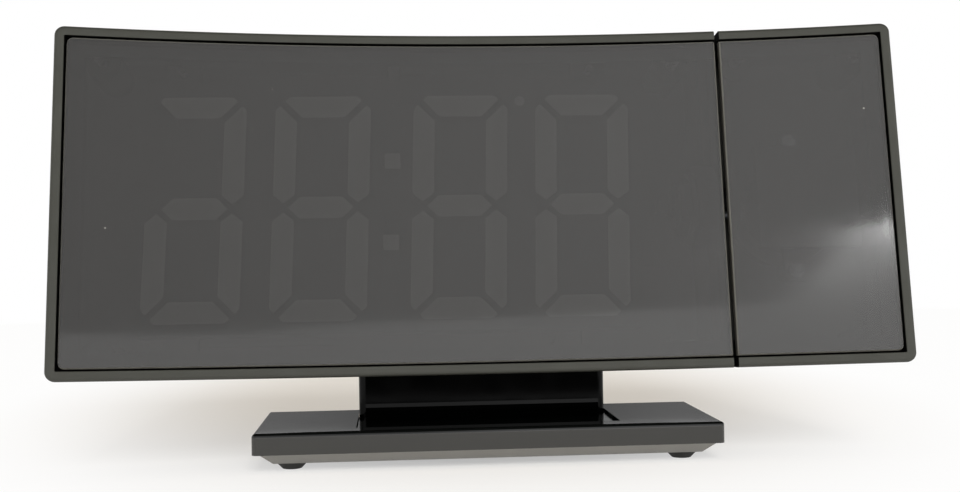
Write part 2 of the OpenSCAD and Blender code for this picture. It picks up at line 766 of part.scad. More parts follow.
module display_window() {
    color(window_grey) in_body() window(left_end, main_end);
}
module digit_block() {
    color(soft_black) in_body() difference() {
        block(block_x0, block_x1, block_y, board_y, -block_h / 2, block_h / 2);
        lit_shapes(block_y - overcut, board_y + overcut);
    }
}
module digit_segments() {
    color(segment_grey) in_body() lit_shapes(block_y, block_y + segment_t);
}
module display_board() {
    color(board_green) in_body() difference() {
        union() {
            block(block_x0, block_x1, board_y, board_y + board_t, -block_h / 2, block_h / 2);
            for (x = ear_x) block(x - ear_w / 2, x + ear_w / 2, board_y, board_y + board_t,
                -ear_z - post_r, ear_z + post_r);
        }
        for (x = ear_x, z = [-ear_z, ear_z])
            bar_y(x, z, post_pilot_r + slip, board_y - overcut, board_y + board_t + overcut);
    }
}
module display_screws() {
    color(steel) in_body() for (x = ear_x, z = [-ear_z, ear_z]) {
        bar_y(x, z, small_head_r, board_y + board_t, board_y + board_t + small_head_h);
        bar_y(x, z, post_pilot_r, board_y - post_pilot + slip, board_y + board_t);
    }
}
module control_board() {
    color(board_green) in_body() difference() {
        union() {
            block(control_x[0], control_x[1], control_y, control_back, control_z[0], control_z[1]);
            block(leg_x[0], leg_x[1], control_y, control_back, leg_z[0], leg_z[1]);
            block(control_x[0], leg_x[1], control_y, control_back, leg_z[1], control_z[0]);
        }
        for (x = control_screw_x, z = control_screw_z)
            bar_y(x, z, post_pilot_r + slip, control_y - overcut, control_back + overcut);
    }
}
module control_screws() {
    color(steel) in_body() for (x = control_screw_x, z = control_screw_z) {
        bar_y(x, z, small_head_r, control_y - control_head_h, control_y);
        bar_y(x, z, post_pilot_r, control_y, control_back + post_pilot - slip);
    }
}
module key_switches() {
    color(soft_black) in_body() {
        for (i = [0:button_n - 1]) {
            block(button_x(i) - switch_w / 2, button_x(i) + switch_w / 2,
                control_back, control_back + switch_t, button_z - switch_w / 2, button_z + switch_w / 2);
            bar_y(button_x(i), button_z, plunger_r,
                control_back + switch_t, control_back + switch_t + plunger_t);
        }
        block(snooze_x - switch_w / 2, snooze_x + switch_w / 2, control_back, snooze_y + plunger_r + slip,
            snooze_switch_z, snooze_switch_z + snooze_switch_h);
        translate([snooze_x, snooze_y, snooze_switch_z + snooze_switch_h])
            cylinder(r = plunger_r, h = plunger_t);
    }
}
module speaker() {
    color(soft_black) in_body() {
        bar_y(speaker_x, speaker_z, speaker_r, speaker_seat - speaker_t, speaker_seat);
        bar_y(speaker_x, speaker_z, magnet_r, speaker_seat - speaker_t - magnet_t, speaker_seat - speaker_t);
    }
}
module cell_contact() {
    color(steel) in_body() difference() {
        bar_y(cell_x, cell_z, contact_r, cup_floor, cell_y);
        bar_y(cell_x, cell_z, contact_r - contact_w, cup_floor - overcut, cell_y + overcut);
    }
}
module coin_cell() {
    color(steel) in_body() {
        bar_y(cell_x, cell_z, cell_r - cell_step, cell_y, cell_y + cell_t);
        bar_y(cell_x, cell_z, cell_r, cell_y + cell_step_t, cell_y + cell_t);
    }
}
module power_inlet() {
    color(steel) in_body() translate([inlet_x, 0, socket_z]) {
        y1 = socket_end(inlet_x, inlet_w);
        difference() {
            along_y(control_back, y1) oval(inlet_w, inlet_h);
            along_y(control_back + socket_floor_t, y1 + overcut)
                oval(inlet_w - 2 * socket_wall, inlet_h - 2 * socket_wall);
        }
        block(-inlet_tongue_w / 2, inlet_tongue_w / 2, control_back + socket_floor_t / 2, y1 - tongue_sunk,
            -inlet_tongue_t / 2, inlet_tongue_t / 2);
    }
}
module usb_socket() {
    color(steel) in_body() translate([usb_x, 0, socket_z]) {
        y1 = socket_end(usb_x, usb_w);
        difference() {
            block(-usb_w / 2, usb_w / 2, control_back, y1, -usb_h / 2, usb_h / 2);
            block(socket_wall - usb_w / 2, usb_w / 2 - socket_wall,
                control_back + socket_floor_t, y1 + overcut,
                socket_wall - usb_h / 2, usb_h / 2 - socket_wall);
        }
        block(-usb_tongue_w / 2, usb_tongue_w / 2, control_back + socket_floor_t / 2, y1 - tongue_sunk,
            usb_tongue_z[0], usb_tongue_z[1]);
    }
}
module case_screws() {
    color(steel) in_body() shell_screws(main_screw_x);
}
module main_lead() {
    color(soft_black) in_body() {
        axis_bar(lead_r, lead_up_x, lead_meet);
        block(lead_up_x - plug_half, lead_up_x + plug_half,
            axis_y - plug_half, control_y, -plug_half, plug_half);
    }
}
module swivel_plate() {
    color(soft_black) in_body() difference() {
        union() {
            clip(main_end, plate_x, plate_front, body_t + overcut) envelope(plate_inset);
            axis_bar(hub_r, hub_x, main_end + plate_proud / 2);
        }
        axis_bar(spindle_r + spindle_play, hub_x - overcut, plate_x + overcut);
        stop_groove();
    }
}

// ========== Buttons ==========
module button(i) {
    x = button_x(i);
    reach = abs(x) + button_w / 2 + button_flange;
    inner = y_at(body_t - wall, reach) - slip;
    color(soft_black) in_body() {
        along_y(inner - button_flange_t / 2, y_at(body_t, abs(x)) + button_proud) button_outline(i, 0);
        along_y(inner - button_flange_t, inner) button_outline(i, button_flange);
        block(x - stem_w / 2, x + stem_w / 2, stem_y, inner - button_flange_t / 2,
            button_z - stem_w / 2, button_z + stem_w / 2);
    }
}
module snooze_button() {
    top = half_h - wall - slip;
    stem_z = snooze_switch_z + snooze_switch_h + plunger_t + button_travel + press_room;
    color(soft_black) in_body() {
        clip(snooze_x - snooze_w / 2, snooze_x + snooze_w / 2,
            snooze_d - snooze_t / 2, snooze_d + snooze_t / 2)
            block(left_end, right_end, -beyond, beyond, top - snooze_flange / 2, half_h + snooze_proud);
        clip(snooze_x - snooze_w / 2 - snooze_flange, snooze_x + snooze_w / 2 + snooze_flange,
            snooze_d - snooze_t / 2 - snooze_flange, snooze_d + snooze_t / 2 + snooze_flange)
            block(left_end, right_end, -beyond, beyond, top - snooze_flange, top);
        block(snooze_x - stem_w / 2, snooze_x + stem_w / 2, snooze_y - stem_w / 2, snooze_y + stem_w / 2,
            stem_z, top - snooze_flange / 2);
    }
}
module battery_cap() {
    color(soft_black) in_body() difference() {
        union() {
            bar_y(cell_x, cell_z, cap_r, cap_face - cap_disc_t, cap_face);
            bar_y(cell_x, cell_z, cap_plug_r, lug_y, cap_face - cap_disc_t / 2);
            for (a = [0, 180]) wedge(lug_r, lug_angle, a, lug_y, lug_y + lug_t);
        }
        block(cell_x - cap_slot_w / 2, cell_x + cap_slot_w / 2, cap_face - cap_disc_t, cap_face + overcut,
            cell_z - cap_slot_l / 2, cell_z + cap_slot_l / 2);
    }
}

// ========== Stand ==========
module neck() {
    top = world(body_t + pad_t, pad_h - half_h);
    color(gloss_black) difference() {
        intersection() {
            along_x(neck_w) polygon(concat(
                [[pocket_front, pocket_z], [base_back, pocket_z], [base_back, base_z]],
                arc(top - [pad_edge_r, pad_edge_r], pad_edge_r, 0, 90),
                [world(body_t - wall, pad_h - half_h), [neck_y, neck_top]],
                arc([neck_y - neck_fillet_r, foot_top + neck_fillet_r], neck_fillet_r, 0, -90),
                [[pocket_front, foot_top]]));
            union() {
                translate([0, 0, foot_top]) linear_extrude(height = beyond)
                    polygon(round_rect(-neck_w / 2, neck_w / 2, neck_y, top.x + 1, neck_edge_r, neck_edge_r));
                block(-neck_w / 2, neck_w / 2, pocket_front, base_back, pocket_z, foot_top);
                block(neck_edge_r - neck_w / 2, neck_w / 2 - neck_edge_r, pocket_front, neck_y + 1,
                    foot_top - slip, foot_top + neck_fillet_r);
            }
            along_y(-beyond, beyond) polygon(round_rect(-neck_w / 2, neck_w / 2, pocket_z - back_round_r,
                top.y, back_round_r, back_round_r));
        }
        in_body() {
            envelope(-slip, front = -1);
            for (x = [-pad_screw_x, pad_screw_x], z = pad_screw_z) {
                bar_y(x, z, shank_r + slip, body_t / 2, beyond);
                bar_y(x, z, head_r + slip, pad_seat, beyond);
            }
        }
        for (x = [-neck_screw_x, neck_screw_x])
            translate([x, neck_screw_y, pocket_z - overcut]) cylinder(r = shank_r, h = neck_screw_l);
    }
}
module along_x(w) {
    translate([-w / 2, 0, 0]) rotate([90, 0, 90]) linear_extrude(height = w) children();
}

module pad_screws() {
    color(steel) in_body() for (x = [-pad_screw_x, pad_screw_x], z = pad_screw_z)
        screw_y(x, z, pad_seat, pad_seat - pad_hole_end - slip);
}
function base_side(half) = let (r = min(base_edge_r, base_flare)) concat([[0, shell_z], [half, shell_z]],
    arc([half - base_flare, base_z - r], r, 0, 90), [[0, base_z]]);
function plate(x, y) = concat(
    corner([-x, -y], base_front_r, [1, 1], 180), corner([x, -y], base_front_r, [-1, 1], 270),
    corner([x, y], base_corner_r, [-1, -1], 0), corner([-x, y], base_corner_r, [1, -1], 90));
function both_sides(points) = concat(points, [for (i = [len(points) - 2:-1:1]) [-points[i].x, points[i].y]]);
module base_shell() {
    color(gloss_black) difference() {
        intersection() {
            along_y(-base_d, base_d) polygon(both_sides(base_side(base_w / 2)));
            along_x(2 * base_w) polygon(both_sides(base_side(base_d / 2)));
            linear_extrude(height = base_z) polygon(plate(base_w / 2, base_d / 2));
        }
        block(-neck_w / 2 - slip, neck_w / 2 + slip, pocket_front - slip, base_d, pocket_z, base_z + overcut);
        difference() {
            block(-tray_in_x, tray_in_x, -tray_in_y, tray_in_y, shell_z - overcut, shell_z + cavity_t);
            for (x = [-tray_screw_x, tray_screw_x])
                translate([x, 0, shell_z - 2 * overcut]) cylinder(r = tray_boss_r, h = base_z);
        }
        for (x = [-neck_screw_x, neck_screw_x])
            translate([x, neck_screw_y, shell_z]) cylinder(r = shank_r + slip, h = base_z);
        for (x = [-tray_screw_x, tray_screw_x])
            translate([x, 0, shell_z - overcut]) cylinder(r = shank_r, h = tray_thread + overcut);
    }
}
module tray() {
    color(case_grey) difference() {
        intersection() {
            along_y(-base_d, base_d) polygon(tray_side(tray_w));
            along_x(2 * base_w) polygon(tray_side(tray_d));
            linear_extrude(height = base_z) polygon(plate(tray_w, tray_d));
        }
        difference() {
            block(-tray_in_x, tray_in_x, -tray_in_y, tray_in_y, foot_h + tray_floor_t, base_z);
            for (x = [-tray_screw_x, tray_screw_x])
                translate([x, 0, foot_h]) cylinder(r = tray_boss_r, h = base_z);
        }
        for (x = [-tray_screw_x, tray_screw_x]) translate([x, 0, 0]) {
            cylinder(r = shank_r + slip, h = base_z);
            cylinder(r = head_r + slip, h = tray_screw_seat);
        }
        for (x = [-feet_span / 2, feet_span / 2], y = [-feet_reach / 2, feet_reach / 2])
            translate([x, y, 0]) cylinder(r = foot_peg_r, h = base_z);
    }
}
function tray_side(half) =
    both_sides([[0, foot_h], [half - tray_slope, foot_h], [half, shell_z], [0, shell_z]]);
module ballast() {
    color(steel) difference() {
        block(-ballast_w / 2, ballast_w / 2, -ballast_d / 2, ballast_d / 2, foot_h + tray_floor_t,
            shell_z + cavity_t - slip);
        for (x = [-neck_screw_x, neck_screw_x])
            translate([x, neck_screw_y, 0]) cylinder(r = head_r + 2 * slip, h = base_z);
    }
}
module rubber_feet() {
    color(soft_black) for (x = [-feet_span / 2, feet_span / 2], y = [-feet_reach / 2, feet_reach / 2])
        translate([x, y, 0]) {
            cylinder(r1 = foot_tip_r, r2 = foot_r, h = foot_h);
            translate([0, 0, foot_h / 2]) cylinder(r = foot_peg_r, h = foot_h / 2 + tray_floor_t);
        }
}
module screw_up(x, y, seat, depth) {
    translate([x, y, seat - head_h]) cylinder(r = head_r, h = head_h);
    translate([x, y, seat - slip]) cylinder(r = shank_r, h = depth + slip);
}
module neck_screws() {
    color(steel) for (x = [-neck_screw_x, neck_screw_x])
        screw_up(x, neck_screw_y, shell_z + cavity_t,
            pocket_z - shell_z - cavity_t + neck_screw_l - overcut - slip);
}
module base_screws() {
    color(steel) for (x = [-tray_screw_x, tray_screw_x])
        screw_up(x, 0, tray_screw_seat, shell_z - tray_screw_seat + tray_thread - slip);
}

// ========== Projector ==========
module projector_front_case() {
    color(case_grey) in_body() difference() {
        union() {
            front_shell(projector_x, right_end, 0);
            front_bosses(projector_screw_x);
        }
        front_boss_holes(projector_screw_x);
        spindle_holes();
    }
}
module spindle_holes() {
    axis_bar(spindle_r + slip, projector_x - overcut, flange_x + overcut);
    flange_screw_holes(flange_x - flange_screw_hold, flange_x + overcut);
}
module projector_rear_cover() {
    color(case_grey) in_body() difference() {
        union() {
            rear_shell(projector_x, right_end, 0);
            intersection() {
                envelope();
                union() {
                    rear_wells(projector_screw_x);
                    for (z = [-ear_out, ear_out])
                        bar_y(lens_x, z, ear_half, ear_y + ear_t, y_at(body_t - wall / 2, lens_x));
                }
            }
            bar_y(lens_x, 0, lens_rim_r, lip_under - ring_rim_l, lens_face);
            round_axis(0, stop_radius) bar_x(0, 0, stop_r, plate_x - stop_l, projector_x + wall / 2);
        }
        rear_well_holes(projector_screw_x);
        spindle_holes();
        for (z = [-ear_out, ear_out])
            bar_y(lens_x, z, post_pilot_r, ear_y, ear_y + ear_t + post_pilot);
        bar_y(lens_x, 0, focus_r + run_gap, lip_under - overcut, lens_face + overcut);
        bar_y(lens_x, 0, ring_flange_r + run_gap, lip_under - ring_rim_l - overcut, lip_under);
    }
}
module projector_window() {
    color(window_grey) in_body() window(projector_x, right_end);
}
module spindle() {
    color(steel) in_body() difference() {
        union() {
            axis_bar(spindle_r, spindle_x, flange_x + flange_t);
            axis_bar(flange_r, flange_x, flange_x + flange_t);
        }
        axis_bar(spindle_bore_r, spindle_x - overcut, flange_x + flange_t + overcut);
        flange_screw_holes(flange_x - overcut, flange_x + flange_t + overcut);
    }
}
module spindle_screws() {
    color(steel) in_body() for (a = flange_screw_angles) round_axis(a, flange_screw_radius) {
        bar_x(0, 0, flange_screw_r - slip / 2,
            flange_x - flange_screw_hold + slip, flange_x + flange_t + slip);
        bar_x(0, 0, flange_head_r, flange_x + flange_t, flange_x + flange_t + flange_head_h);
    }
}
module swivel_washer() {
    color(steel) in_body() difference() {
        axis_bar(washer_r, washer_x, washer_x + washer_t);
        axis_bar(spindle_r + slip, washer_x - overcut, washer_x + washer_t + overcut);
    }
}
module swivel_nut() {
    color(steel) in_body() difference() {
        translate([nut_x, axis_y, 0]) rotate([0, 90, 0]) cylinder(r = nut_r, h = nut_t, $fn = 6);
        axis_bar(spindle_r + slip, nut_x - overcut, washer_x + overcut);
    }
}
module projector_lead() {
    color(soft_black) in_body() {
        axis_bar(lead_r, lead_meet, lead_down_x);
        block(lead_down_x - lead_flat, lead_down_x + lead_flat,
            lamp_y, axis_y + plug_half, -plug_half, plug_half);
        block(lead_down_x, lens_x - lamp_half, lamp_y, tube_y, -plug_half, plug_half);
    }
}
module projector_screws() {
    color(steel) in_body() shell_screws(projector_screw_x);
}
module lamp_board() {
    color(board_green) in_body()
        block(lens_x - lamp_half, lens_x + lamp_half, lamp_y, tube_y, -lamp_half, lamp_half);
}
module lamp() {
    color([0.9, 0.85, 0.4]) in_body() {
        block(lens_x - lamp_chip_w / 2, lens_x + lamp_chip_w / 2, tube_y, tube_y + lamp_chip_t,
            -lamp_chip_w / 2, lamp_chip_w / 2);
        translate([lens_x, tube_y + lamp_chip_t, 0]) rotate([-90, 0, 0]) rotate_extrude()
            polygon(concat([[0, 0]], arc([0, 0], lamp_dome_r, 0, 90)));
    }
}
module optical_tube() {
    color(soft_black) in_body() difference() {
        union() {
            bar_y(lens_x, 0, tube_r, tube_y, tube_shoulder);
            bar_y(lens_x, 0, tube_neck_r, tube_shoulder - overcut, tube_neck_end);
            block(lens_x - ear_half, lens_x + ear_half, ear_y, ear_y + ear_t,
                -ear_out - ear_half, ear_out + ear_half);
        }
        bar_y(lens_x, 0, chamber_r, tube_y - overcut, tube_y + chamber_l);
        bar_y(lens_x, 0, barrel_r + spindle_play, tube_y, tube_neck_end + overcut);
        block(lens_x - key_w / 2 - run_gap, lens_x + key_w / 2 + run_gap, tube_y + chamber_l - overcut,
            tube_neck_end + overcut, 0, barrel_r + key_out + run_gap);
        for (z = [-ear_out, ear_out])
            bar_y(lens_x, z, post_pilot_r + slip, ear_y - overcut, ear_y + ear_t + overcut);
    }
}
module optics_screws() {
    color(steel) in_body() for (z = [-ear_out, ear_out]) {
        bar_y(lens_x, z, small_head_r, ear_y - small_head_h, ear_y);
        bar_y(lens_x, z, post_pilot_r, ear_y - slip, ear_y + ear_t + post_pilot - slip);
    }
}
// A round lens with a flat face and a bulging one, which is cut from a ball
module lens(x, y, r, t, ball) {
    intersection() {
        bar_y(x, 0, r, y, y + t);
        translate([x, y + t - ball, 0]) sphere(r = ball, $fn = 96);
    }
}
module condenser_lens() {
    color([0.8, 0.9, 0.95, 0.6]) in_body()
        lens(lens_x, condenser_y, chamber_r - slip, condenser_t, condenser_ball);
}
module clock_slide() {
    color([0.2, 0.25, 0.35]) in_body()
        block(lens_x - slide_half, lens_x + slide_half, slide_y, slide_y + slide_t, -slide_half, slide_half);
}
module lens_barrel() {
    color(soft_black) in_body() difference() {
        union() {
            bar_y(lens_x, 0, barrel_r, barrel_y, barrel_end);
            block(lens_x - key_w / 2, lens_x + key_w / 2, barrel_y, barrel_y + key_l,
                lens_r, barrel_r + key_out);
        }
        bar_y(lens_x, 0, barrel_in_r, barrel_y - overcut, barrel_end + overcut);
        bar_y(lens_x, 0, lens_r, barrel_end - lens_sink - lens_t, barrel_end + overcut);
    }
}
module projection_lens() {
    color([0.8, 0.9, 0.95, 0.6]) in_body()
        lens(lens_x, barrel_end - lens_sink - lens_t, lens_r, lens_t, lens_ball);
}
module focus_ring() {
    color(soft_black) in_body() difference() {
        union() {
            bar_y(lens_x, 0, focus_r - rib_r, ring_y, ring_end);
            bar_y(lens_x, 0, ring_flange_r, ring_y, ring_y + ring_flange_t);
            for (i = [0:focus_ribs - 1]) let (a = 360 * i / focus_ribs)
                bar_y(lens_x + (focus_r - rib_r) * cos(a), (focus_r - rib_r) * sin(a), rib_r,
                    lens_face + rib_in[0], ring_end - rib_in[1], $fn = 16);
        }
        bar_y(lens_x, 0, tube_neck_r + spindle_play, ring_y - overcut, ring_bore_end);
        bar_y(lens_x, 0, barrel_r + run_gap, ring_y, ring_end + overcut);
    }
}

front_case();
rear_cover();
display_window();
digit_block();
digit_segments();
display_board();
display_screws();
control_board();
control_screws();
key_switches();
speaker();
cell_contact();
coin_cell();
power_inlet();
usb_socket();
case_screws();
main_lead();
swivel_plate();
neck();
pad_screws();
base_shell();
tray();
ballast();
rubber_feet();
neck_screws();
base_screws();
projector_front_case();
projector_rear_cover();
projector_window();
spindle();
spindle_screws();
swivel_washer();
swivel_nut();
projector_lead();
projector_screws();
lamp_board();
lamp();
optical_tube();
optics_screws();
condenser_lens();
clock_slide();
lens_barrel();
projection_lens();
focus_ring();
snooze_button();
battery_cap();
button(0);  // alarm_button
button(1);  // time_button
button(2);  // up_button
button(3);  // down_button
button(4);  // dimmer_button
button(5);  // projection_button
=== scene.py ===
import math

import bmesh
import bpy
from mathutils import Matrix, Vector


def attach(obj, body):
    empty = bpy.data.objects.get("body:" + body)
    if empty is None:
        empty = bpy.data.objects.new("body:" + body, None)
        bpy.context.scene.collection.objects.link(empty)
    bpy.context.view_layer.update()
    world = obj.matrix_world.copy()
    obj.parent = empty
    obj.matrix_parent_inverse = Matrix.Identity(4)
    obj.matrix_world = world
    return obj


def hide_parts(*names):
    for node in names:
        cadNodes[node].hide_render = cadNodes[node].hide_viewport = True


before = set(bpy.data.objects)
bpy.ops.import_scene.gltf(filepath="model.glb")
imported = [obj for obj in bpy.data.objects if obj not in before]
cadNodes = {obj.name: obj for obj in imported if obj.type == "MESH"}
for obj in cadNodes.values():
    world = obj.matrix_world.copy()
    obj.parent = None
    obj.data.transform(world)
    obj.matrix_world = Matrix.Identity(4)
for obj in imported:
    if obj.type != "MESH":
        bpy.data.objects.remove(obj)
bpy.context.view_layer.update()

# the slab, as the CAD has it: its face is a hollow curve that leans back over the stand
slab = dict(
    width=0.1905,
    height=0.079,
    depth=0.025,
    faceRadius=0.570,
    lean=math.radians(9.2),
    faceY=0.0083,
    faceZ=0.0595,
    cornerRadius=0.0022,
    rimEdge=0.0008,
    undersideSlope=math.radians(5),
    splitDepth=0.009,
    projectorWidth=0.0391,
    gap=0.0011,
    wall=0.002,
)
halfWidth = slab["width"] / 2
halfHeight = slab["height"] / 2
projectorX = halfWidth - slab["projectorWidth"]
mainEnd = projectorX - slab["gap"]


# places in the slab's own frame: x along it, y or depth behind its face, z up its height
def leanBack(x, y, z):
    c, s = math.cos(slab["lean"]), math.sin(slab["lean"])
    return Vector((x, y * c + z * s - slab["faceY"], z * c - y * s + slab["faceZ"]))


def curveY(x, depth):
    return math.sqrt((slab["faceRadius"] + depth) ** 2 - x * x) - slab["faceRadius"]


def arcPoints(cx, cz, radius, start, end, steps):
    turn = [math.radians(start + (end - start) * i / steps) for i in range(steps + 1)]
    return [(cx + radius * math.cos(t), cz + radius * math.sin(t)) for t in turn]


# materials
def fromHex(code):
    parts = [int(code[i:i + 2], 16) / 255 for i in (1, 3, 5)]
    return tuple(p / 12.92 if p <= 0.04045 else ((p + 0.055) / 1.055) ** 2.4 for p in parts) + (1.0,)


# makes a node, gives its sockets or properties their values, and links its inputs
def addNode(tree, kind, settings=None, links=None):
    node = tree.nodes.new(kind)
    for key, value in (settings or {}).items():
        if isinstance(key, str) and hasattr(node, key):
            setattr(node, key, value)
        else:
            node.inputs[key].default_value = value
    for key, source in (links or {}).items():
        tree.links.new(source, node.inputs[key])
    return node


def addMath(tree, operation, first, second=0.0, clamp=False):
    node = tree.nodes.new("ShaderNodeMath")
    node.operation = operation
    node.use_clamp = clamp
    for slot, value in enumerate((first, second)):
        if isinstance(value, (int, float)):
            node.inputs[slot].default_value = value
        else:
            tree.links.new(value, node.inputs[slot])
    return node.outputs[0]


def addRange(tree, value, fromMin, fromMax, toMin, toMax, smooth=False):
    node = addNode(tree, "ShaderNodeMapRange", {"From Min": fromMin, "From Max": fromMax, "To Min": toMin,
                                                "To Max": toMax}, {"Value": value})
    node.interpolation_type = "SMOOTHSTEP" if smooth else "LINEAR"
    return node.outputs["Result"]


def newMaterial(name, settings):
    material = bpy.data.materials.new(name)
    material.use_nodes = True
    tree = material.node_tree
    tree.nodes.clear()
    shader = addNode(tree, "ShaderNodeBsdfPrincipled", settings)
    addNode(tree, "ShaderNodeOutputMaterial", links={"Surface": shader.outputs[0]})
    place = addNode(tree, "ShaderNodeTexCoord").outputs["Object"]
    return material, tree, shader, place


# how many repeats a texture makes in one metre
def grainScale(millimetres):
    return 1000 / millimetres


def mixColour(tree, factor, dark, light):
    mix = addNode(tree, "ShaderNodeMix", {"data_type": "RGBA"}, {"Factor": factor})
    for slot, colour in ((6, dark), (7, light)):
        if isinstance(colour, str):
            mix.inputs[slot].default_value = fromHex(colour)
        else:
            tree.links.new(colour, mix.inputs[slot])
    return mix.outputs[2]


def varyColour(tree, shader, place, dark, light, millimetres, detail=4.0):
    noise = addNode(tree, "ShaderNodeTexNoise", {"Scale": grainScale(millimetres), "Detail": detail},
                    {"Vector": place})
    colour = mixColour(tree, noise.outputs["Fac"], dark, light)
    tree.links.new(colour, shader.inputs["Base Color"])
    return colour


def varyRoughness(tree, shader, place, low, high, millimetres):
    noise = addNode(tree, "ShaderNodeTexNoise", {"Scale": grainScale(millimetres), "Detail": 3.0},
                    {"Vector": place})
    tree.links.new(addRange(tree, noise.outputs["Fac"], 0.3, 0.7, low, high), shader.inputs["Roughness"])


def addGrain(tree, shader, place, millimetres, strength, height=0.00002):
    noise = addNode(tree, "ShaderNodeTexNoise", {"Scale": grainScale(millimetres), "Detail": 2.0},
                    {"Vector": place})
    bump = addNode(tree, "ShaderNodeBump", {"Strength": strength, "Distance": height},
                   {"Height": noise.outputs["Fac"]})
    tree.links.new(bump.outputs["Normal"], shader.inputs["Normal"])


# ABS, injection moulded and sprayed warm grey: an even satin skin over a fine spark-eroded grain
def caseAbs():
    material, tree, shader, place = newMaterial("caseAbs", {"Metallic": 0.0, "IOR": 1.5})
    varyColour(tree, shader, place, "#363731", "#3b3c37", 14)
    varyRoughness(tree, shader, place, 0.42, 0.52, 6)
    addGrain(tree, shader, place, 0.35, 0.25)
    return material


# the same ABS on the rear, left as moulded: a coarser, flatter grain
def rearAbs():
    material, tree, shader, place = newMaterial("rearAbs", {"Metallic": 0.0, "IOR": 1.5})
    varyColour(tree, shader, place, "#353632", "#3c3d39", 12)
    varyRoughness(tree, shader, place, 0.5, 0.62, 5)
    addGrain(tree, shader, place, 0.5, 0.6)
    return material


# pale grey ABS of the stand's tray, fine satin
def trayAbs():
    material, tree, shader, place = newMaterial("trayAbs", {"Metallic": 0.0, "IOR": 1.5})
    varyColour(tree, shader, place, "#8c8c8a", "#969694", 10)
    varyRoughness(tree, shader, place, 0.4, 0.5, 5)
    addGrain(tree, shader, place, 0.35, 0.25)
    return material


# how the dust lies on the windows: one grain to a cell, the cell's size in mm and the grain's share of it
dust = dict(cell=12, grain=0.018, colour="#b4b4ae")


# cast acrylic, tinted smoke grey and polished flat; a few grains of dust lie on it. Its alpha and specular
# level are tuned to how much of the digits and of the room the photo's windows show
def smokedAcrylic():
    material, tree, shader, place = newMaterial("smokedAcrylic", {"Metallic": 0.0, "IOR": 1.5, "Alpha": 0.67,
                                                                  "Specular IOR Level": 0.79})
    tint = varyColour(tree, shader, place, "#3b3b3b", "#3f3f3f", 60)
    cells = addNode(tree, "ShaderNodeTexVoronoi", {"Scale": grainScale(dust["cell"])}, {"Vector": place})
    speck = addMath(tree, "LESS_THAN", cells.outputs["Distance"], dust["grain"])
    tree.links.new(mixColour(tree, speck, tint, dust["colour"]), shader.inputs["Base Color"])
    varyRoughness(tree, shader, place, 0.03, 0.05, 25)
    return material


# the acrylic's milled edge, frosted by the cutter; its pale colour is partly that frosting and partly a
# painted highlight, the fine pale line where the edge catches the light
def cutAcrylicAndHighlight():
    material, tree, shader, place = newMaterial("cutAcrylicAndHighlight", {"Metallic": 0.0, "IOR": 1.5})
    varyColour(tree, shader, place, "#5c5c58", "#74746f", 3)
    varyRoughness(tree, shader, place, 0.35, 0.5, 2)
    return material


# piano-black ABS of the neck, moulded glossy: deep black. Its specular level is tuned, well under the 0.5 of
# a gloss plastic, because the photo's neck mirrors next to nothing
def neckAbs():
    material, tree, shader, place = newMaterial("neckAbs", {"Metallic": 0.0, "IOR": 1.5,
                                                            "Specular IOR Level": 0.12})
    varyColour(tree, shader, place, "#040505", "#070908", 20)
    varyRoughness(tree, shader, place, 0.08, 0.14, 9)
    return material


# how high the grey of the plate's sides, a painted reflection, reaches, and how sharply it ends there
plate = dict(paintedReflectionTop=0.0081, blend=0.00005, side="#353533")


# the stand's plate: glossy ABS with a piano-black top that turns over the edge; its sides are grey below a
# set height, a painted reflection of the room in front
def plateAbsPaintedReflection():
    material, tree, shader, place = newMaterial("plateAbsPaintedReflection", {"Metallic": 0.0, "IOR": 1.5})
    black = varyColour(tree, shader, place, "#040505", "#070908", 20)
    height = addNode(tree, "ShaderNodeSeparateXYZ", links={0: place}).outputs["Z"]
    # below this height the colour turns to the grey of the painted reflection
    side = addRange(tree, height, plate["paintedReflectionTop"] - plate["blend"], plate["paintedReflectionTop"] + plate["blend"], 1, 0)
    tree.links.new(mixColour(tree, side, black, plate["side"]), shader.inputs["Base Color"])
    varyRoughness(tree, shader, place, 0.045, 0.055, 9)
    return material


# black ABS of the buttons, the optics and the speaker, matt and finely grained
def matteBlack():
    material, tree, shader, place = newMaterial("matteBlack", {"Metallic": 0.0, "IOR": 1.48})
    varyColour(tree, shader, place, "#161616", "#1d1d1d", 8)
    varyRoughness(tree, shader, place, 0.5, 0.65, 3)
    addGrain(tree, shader, place, 0.4, 0.5)
    return material


# flat black, matt and mirroring very little: the leads' own black, and painted shade on the bezel's groove,
# ledge and ends and on the swivel plate, so that the groove and the gaps stay dark
def blackAndPaintedShade():
    material, tree, shader, place = newMaterial("blackAndPaintedShade", {"Metallic": 0.0, "IOR": 1.4,
                                                              "Specular IOR Level": 0.1})
    varyColour(tree, shader, place, "#060606", "#0a0a0a", 6)
    varyRoughness(tree, shader, place, 0.75, 0.9, 3)
    return material


# milky epoxy, cast into the strokes of the digits: dull pale grey while it is unlit
def segmentEpoxy():
    material, tree, shader, place = newMaterial("segmentEpoxy", {"Metallic": 0.0, "IOR": 1.5})
    varyColour(tree, shader, place, "#dadada", "#e4e4e4", 5)
    varyRoughness(tree, shader, place, 0.5, 0.6, 2)
    return material


# black paint on the front of the digit block
def blockPaint():
    material, tree, shader, place = newMaterial("blockPaint", {"Metallic": 0.0, "IOR": 1.45})
    varyColour(tree, shader, place, "#0c0c0c", "#121212", 10)
    varyRoughness(tree, shader, place, 0.6, 0.7, 3)
    return material


# glass-fibre board under black solder mask
def solderMask():
    material, tree, shader, place = newMaterial("solderMask", {"Metallic": 0.0, "IOR": 1.5})
    varyColour(tree, shader, place, "#0b0d0c", "#121513", 3)
    varyRoughness(tree, shader, place, 0.35, 0.5, 2)
    return material


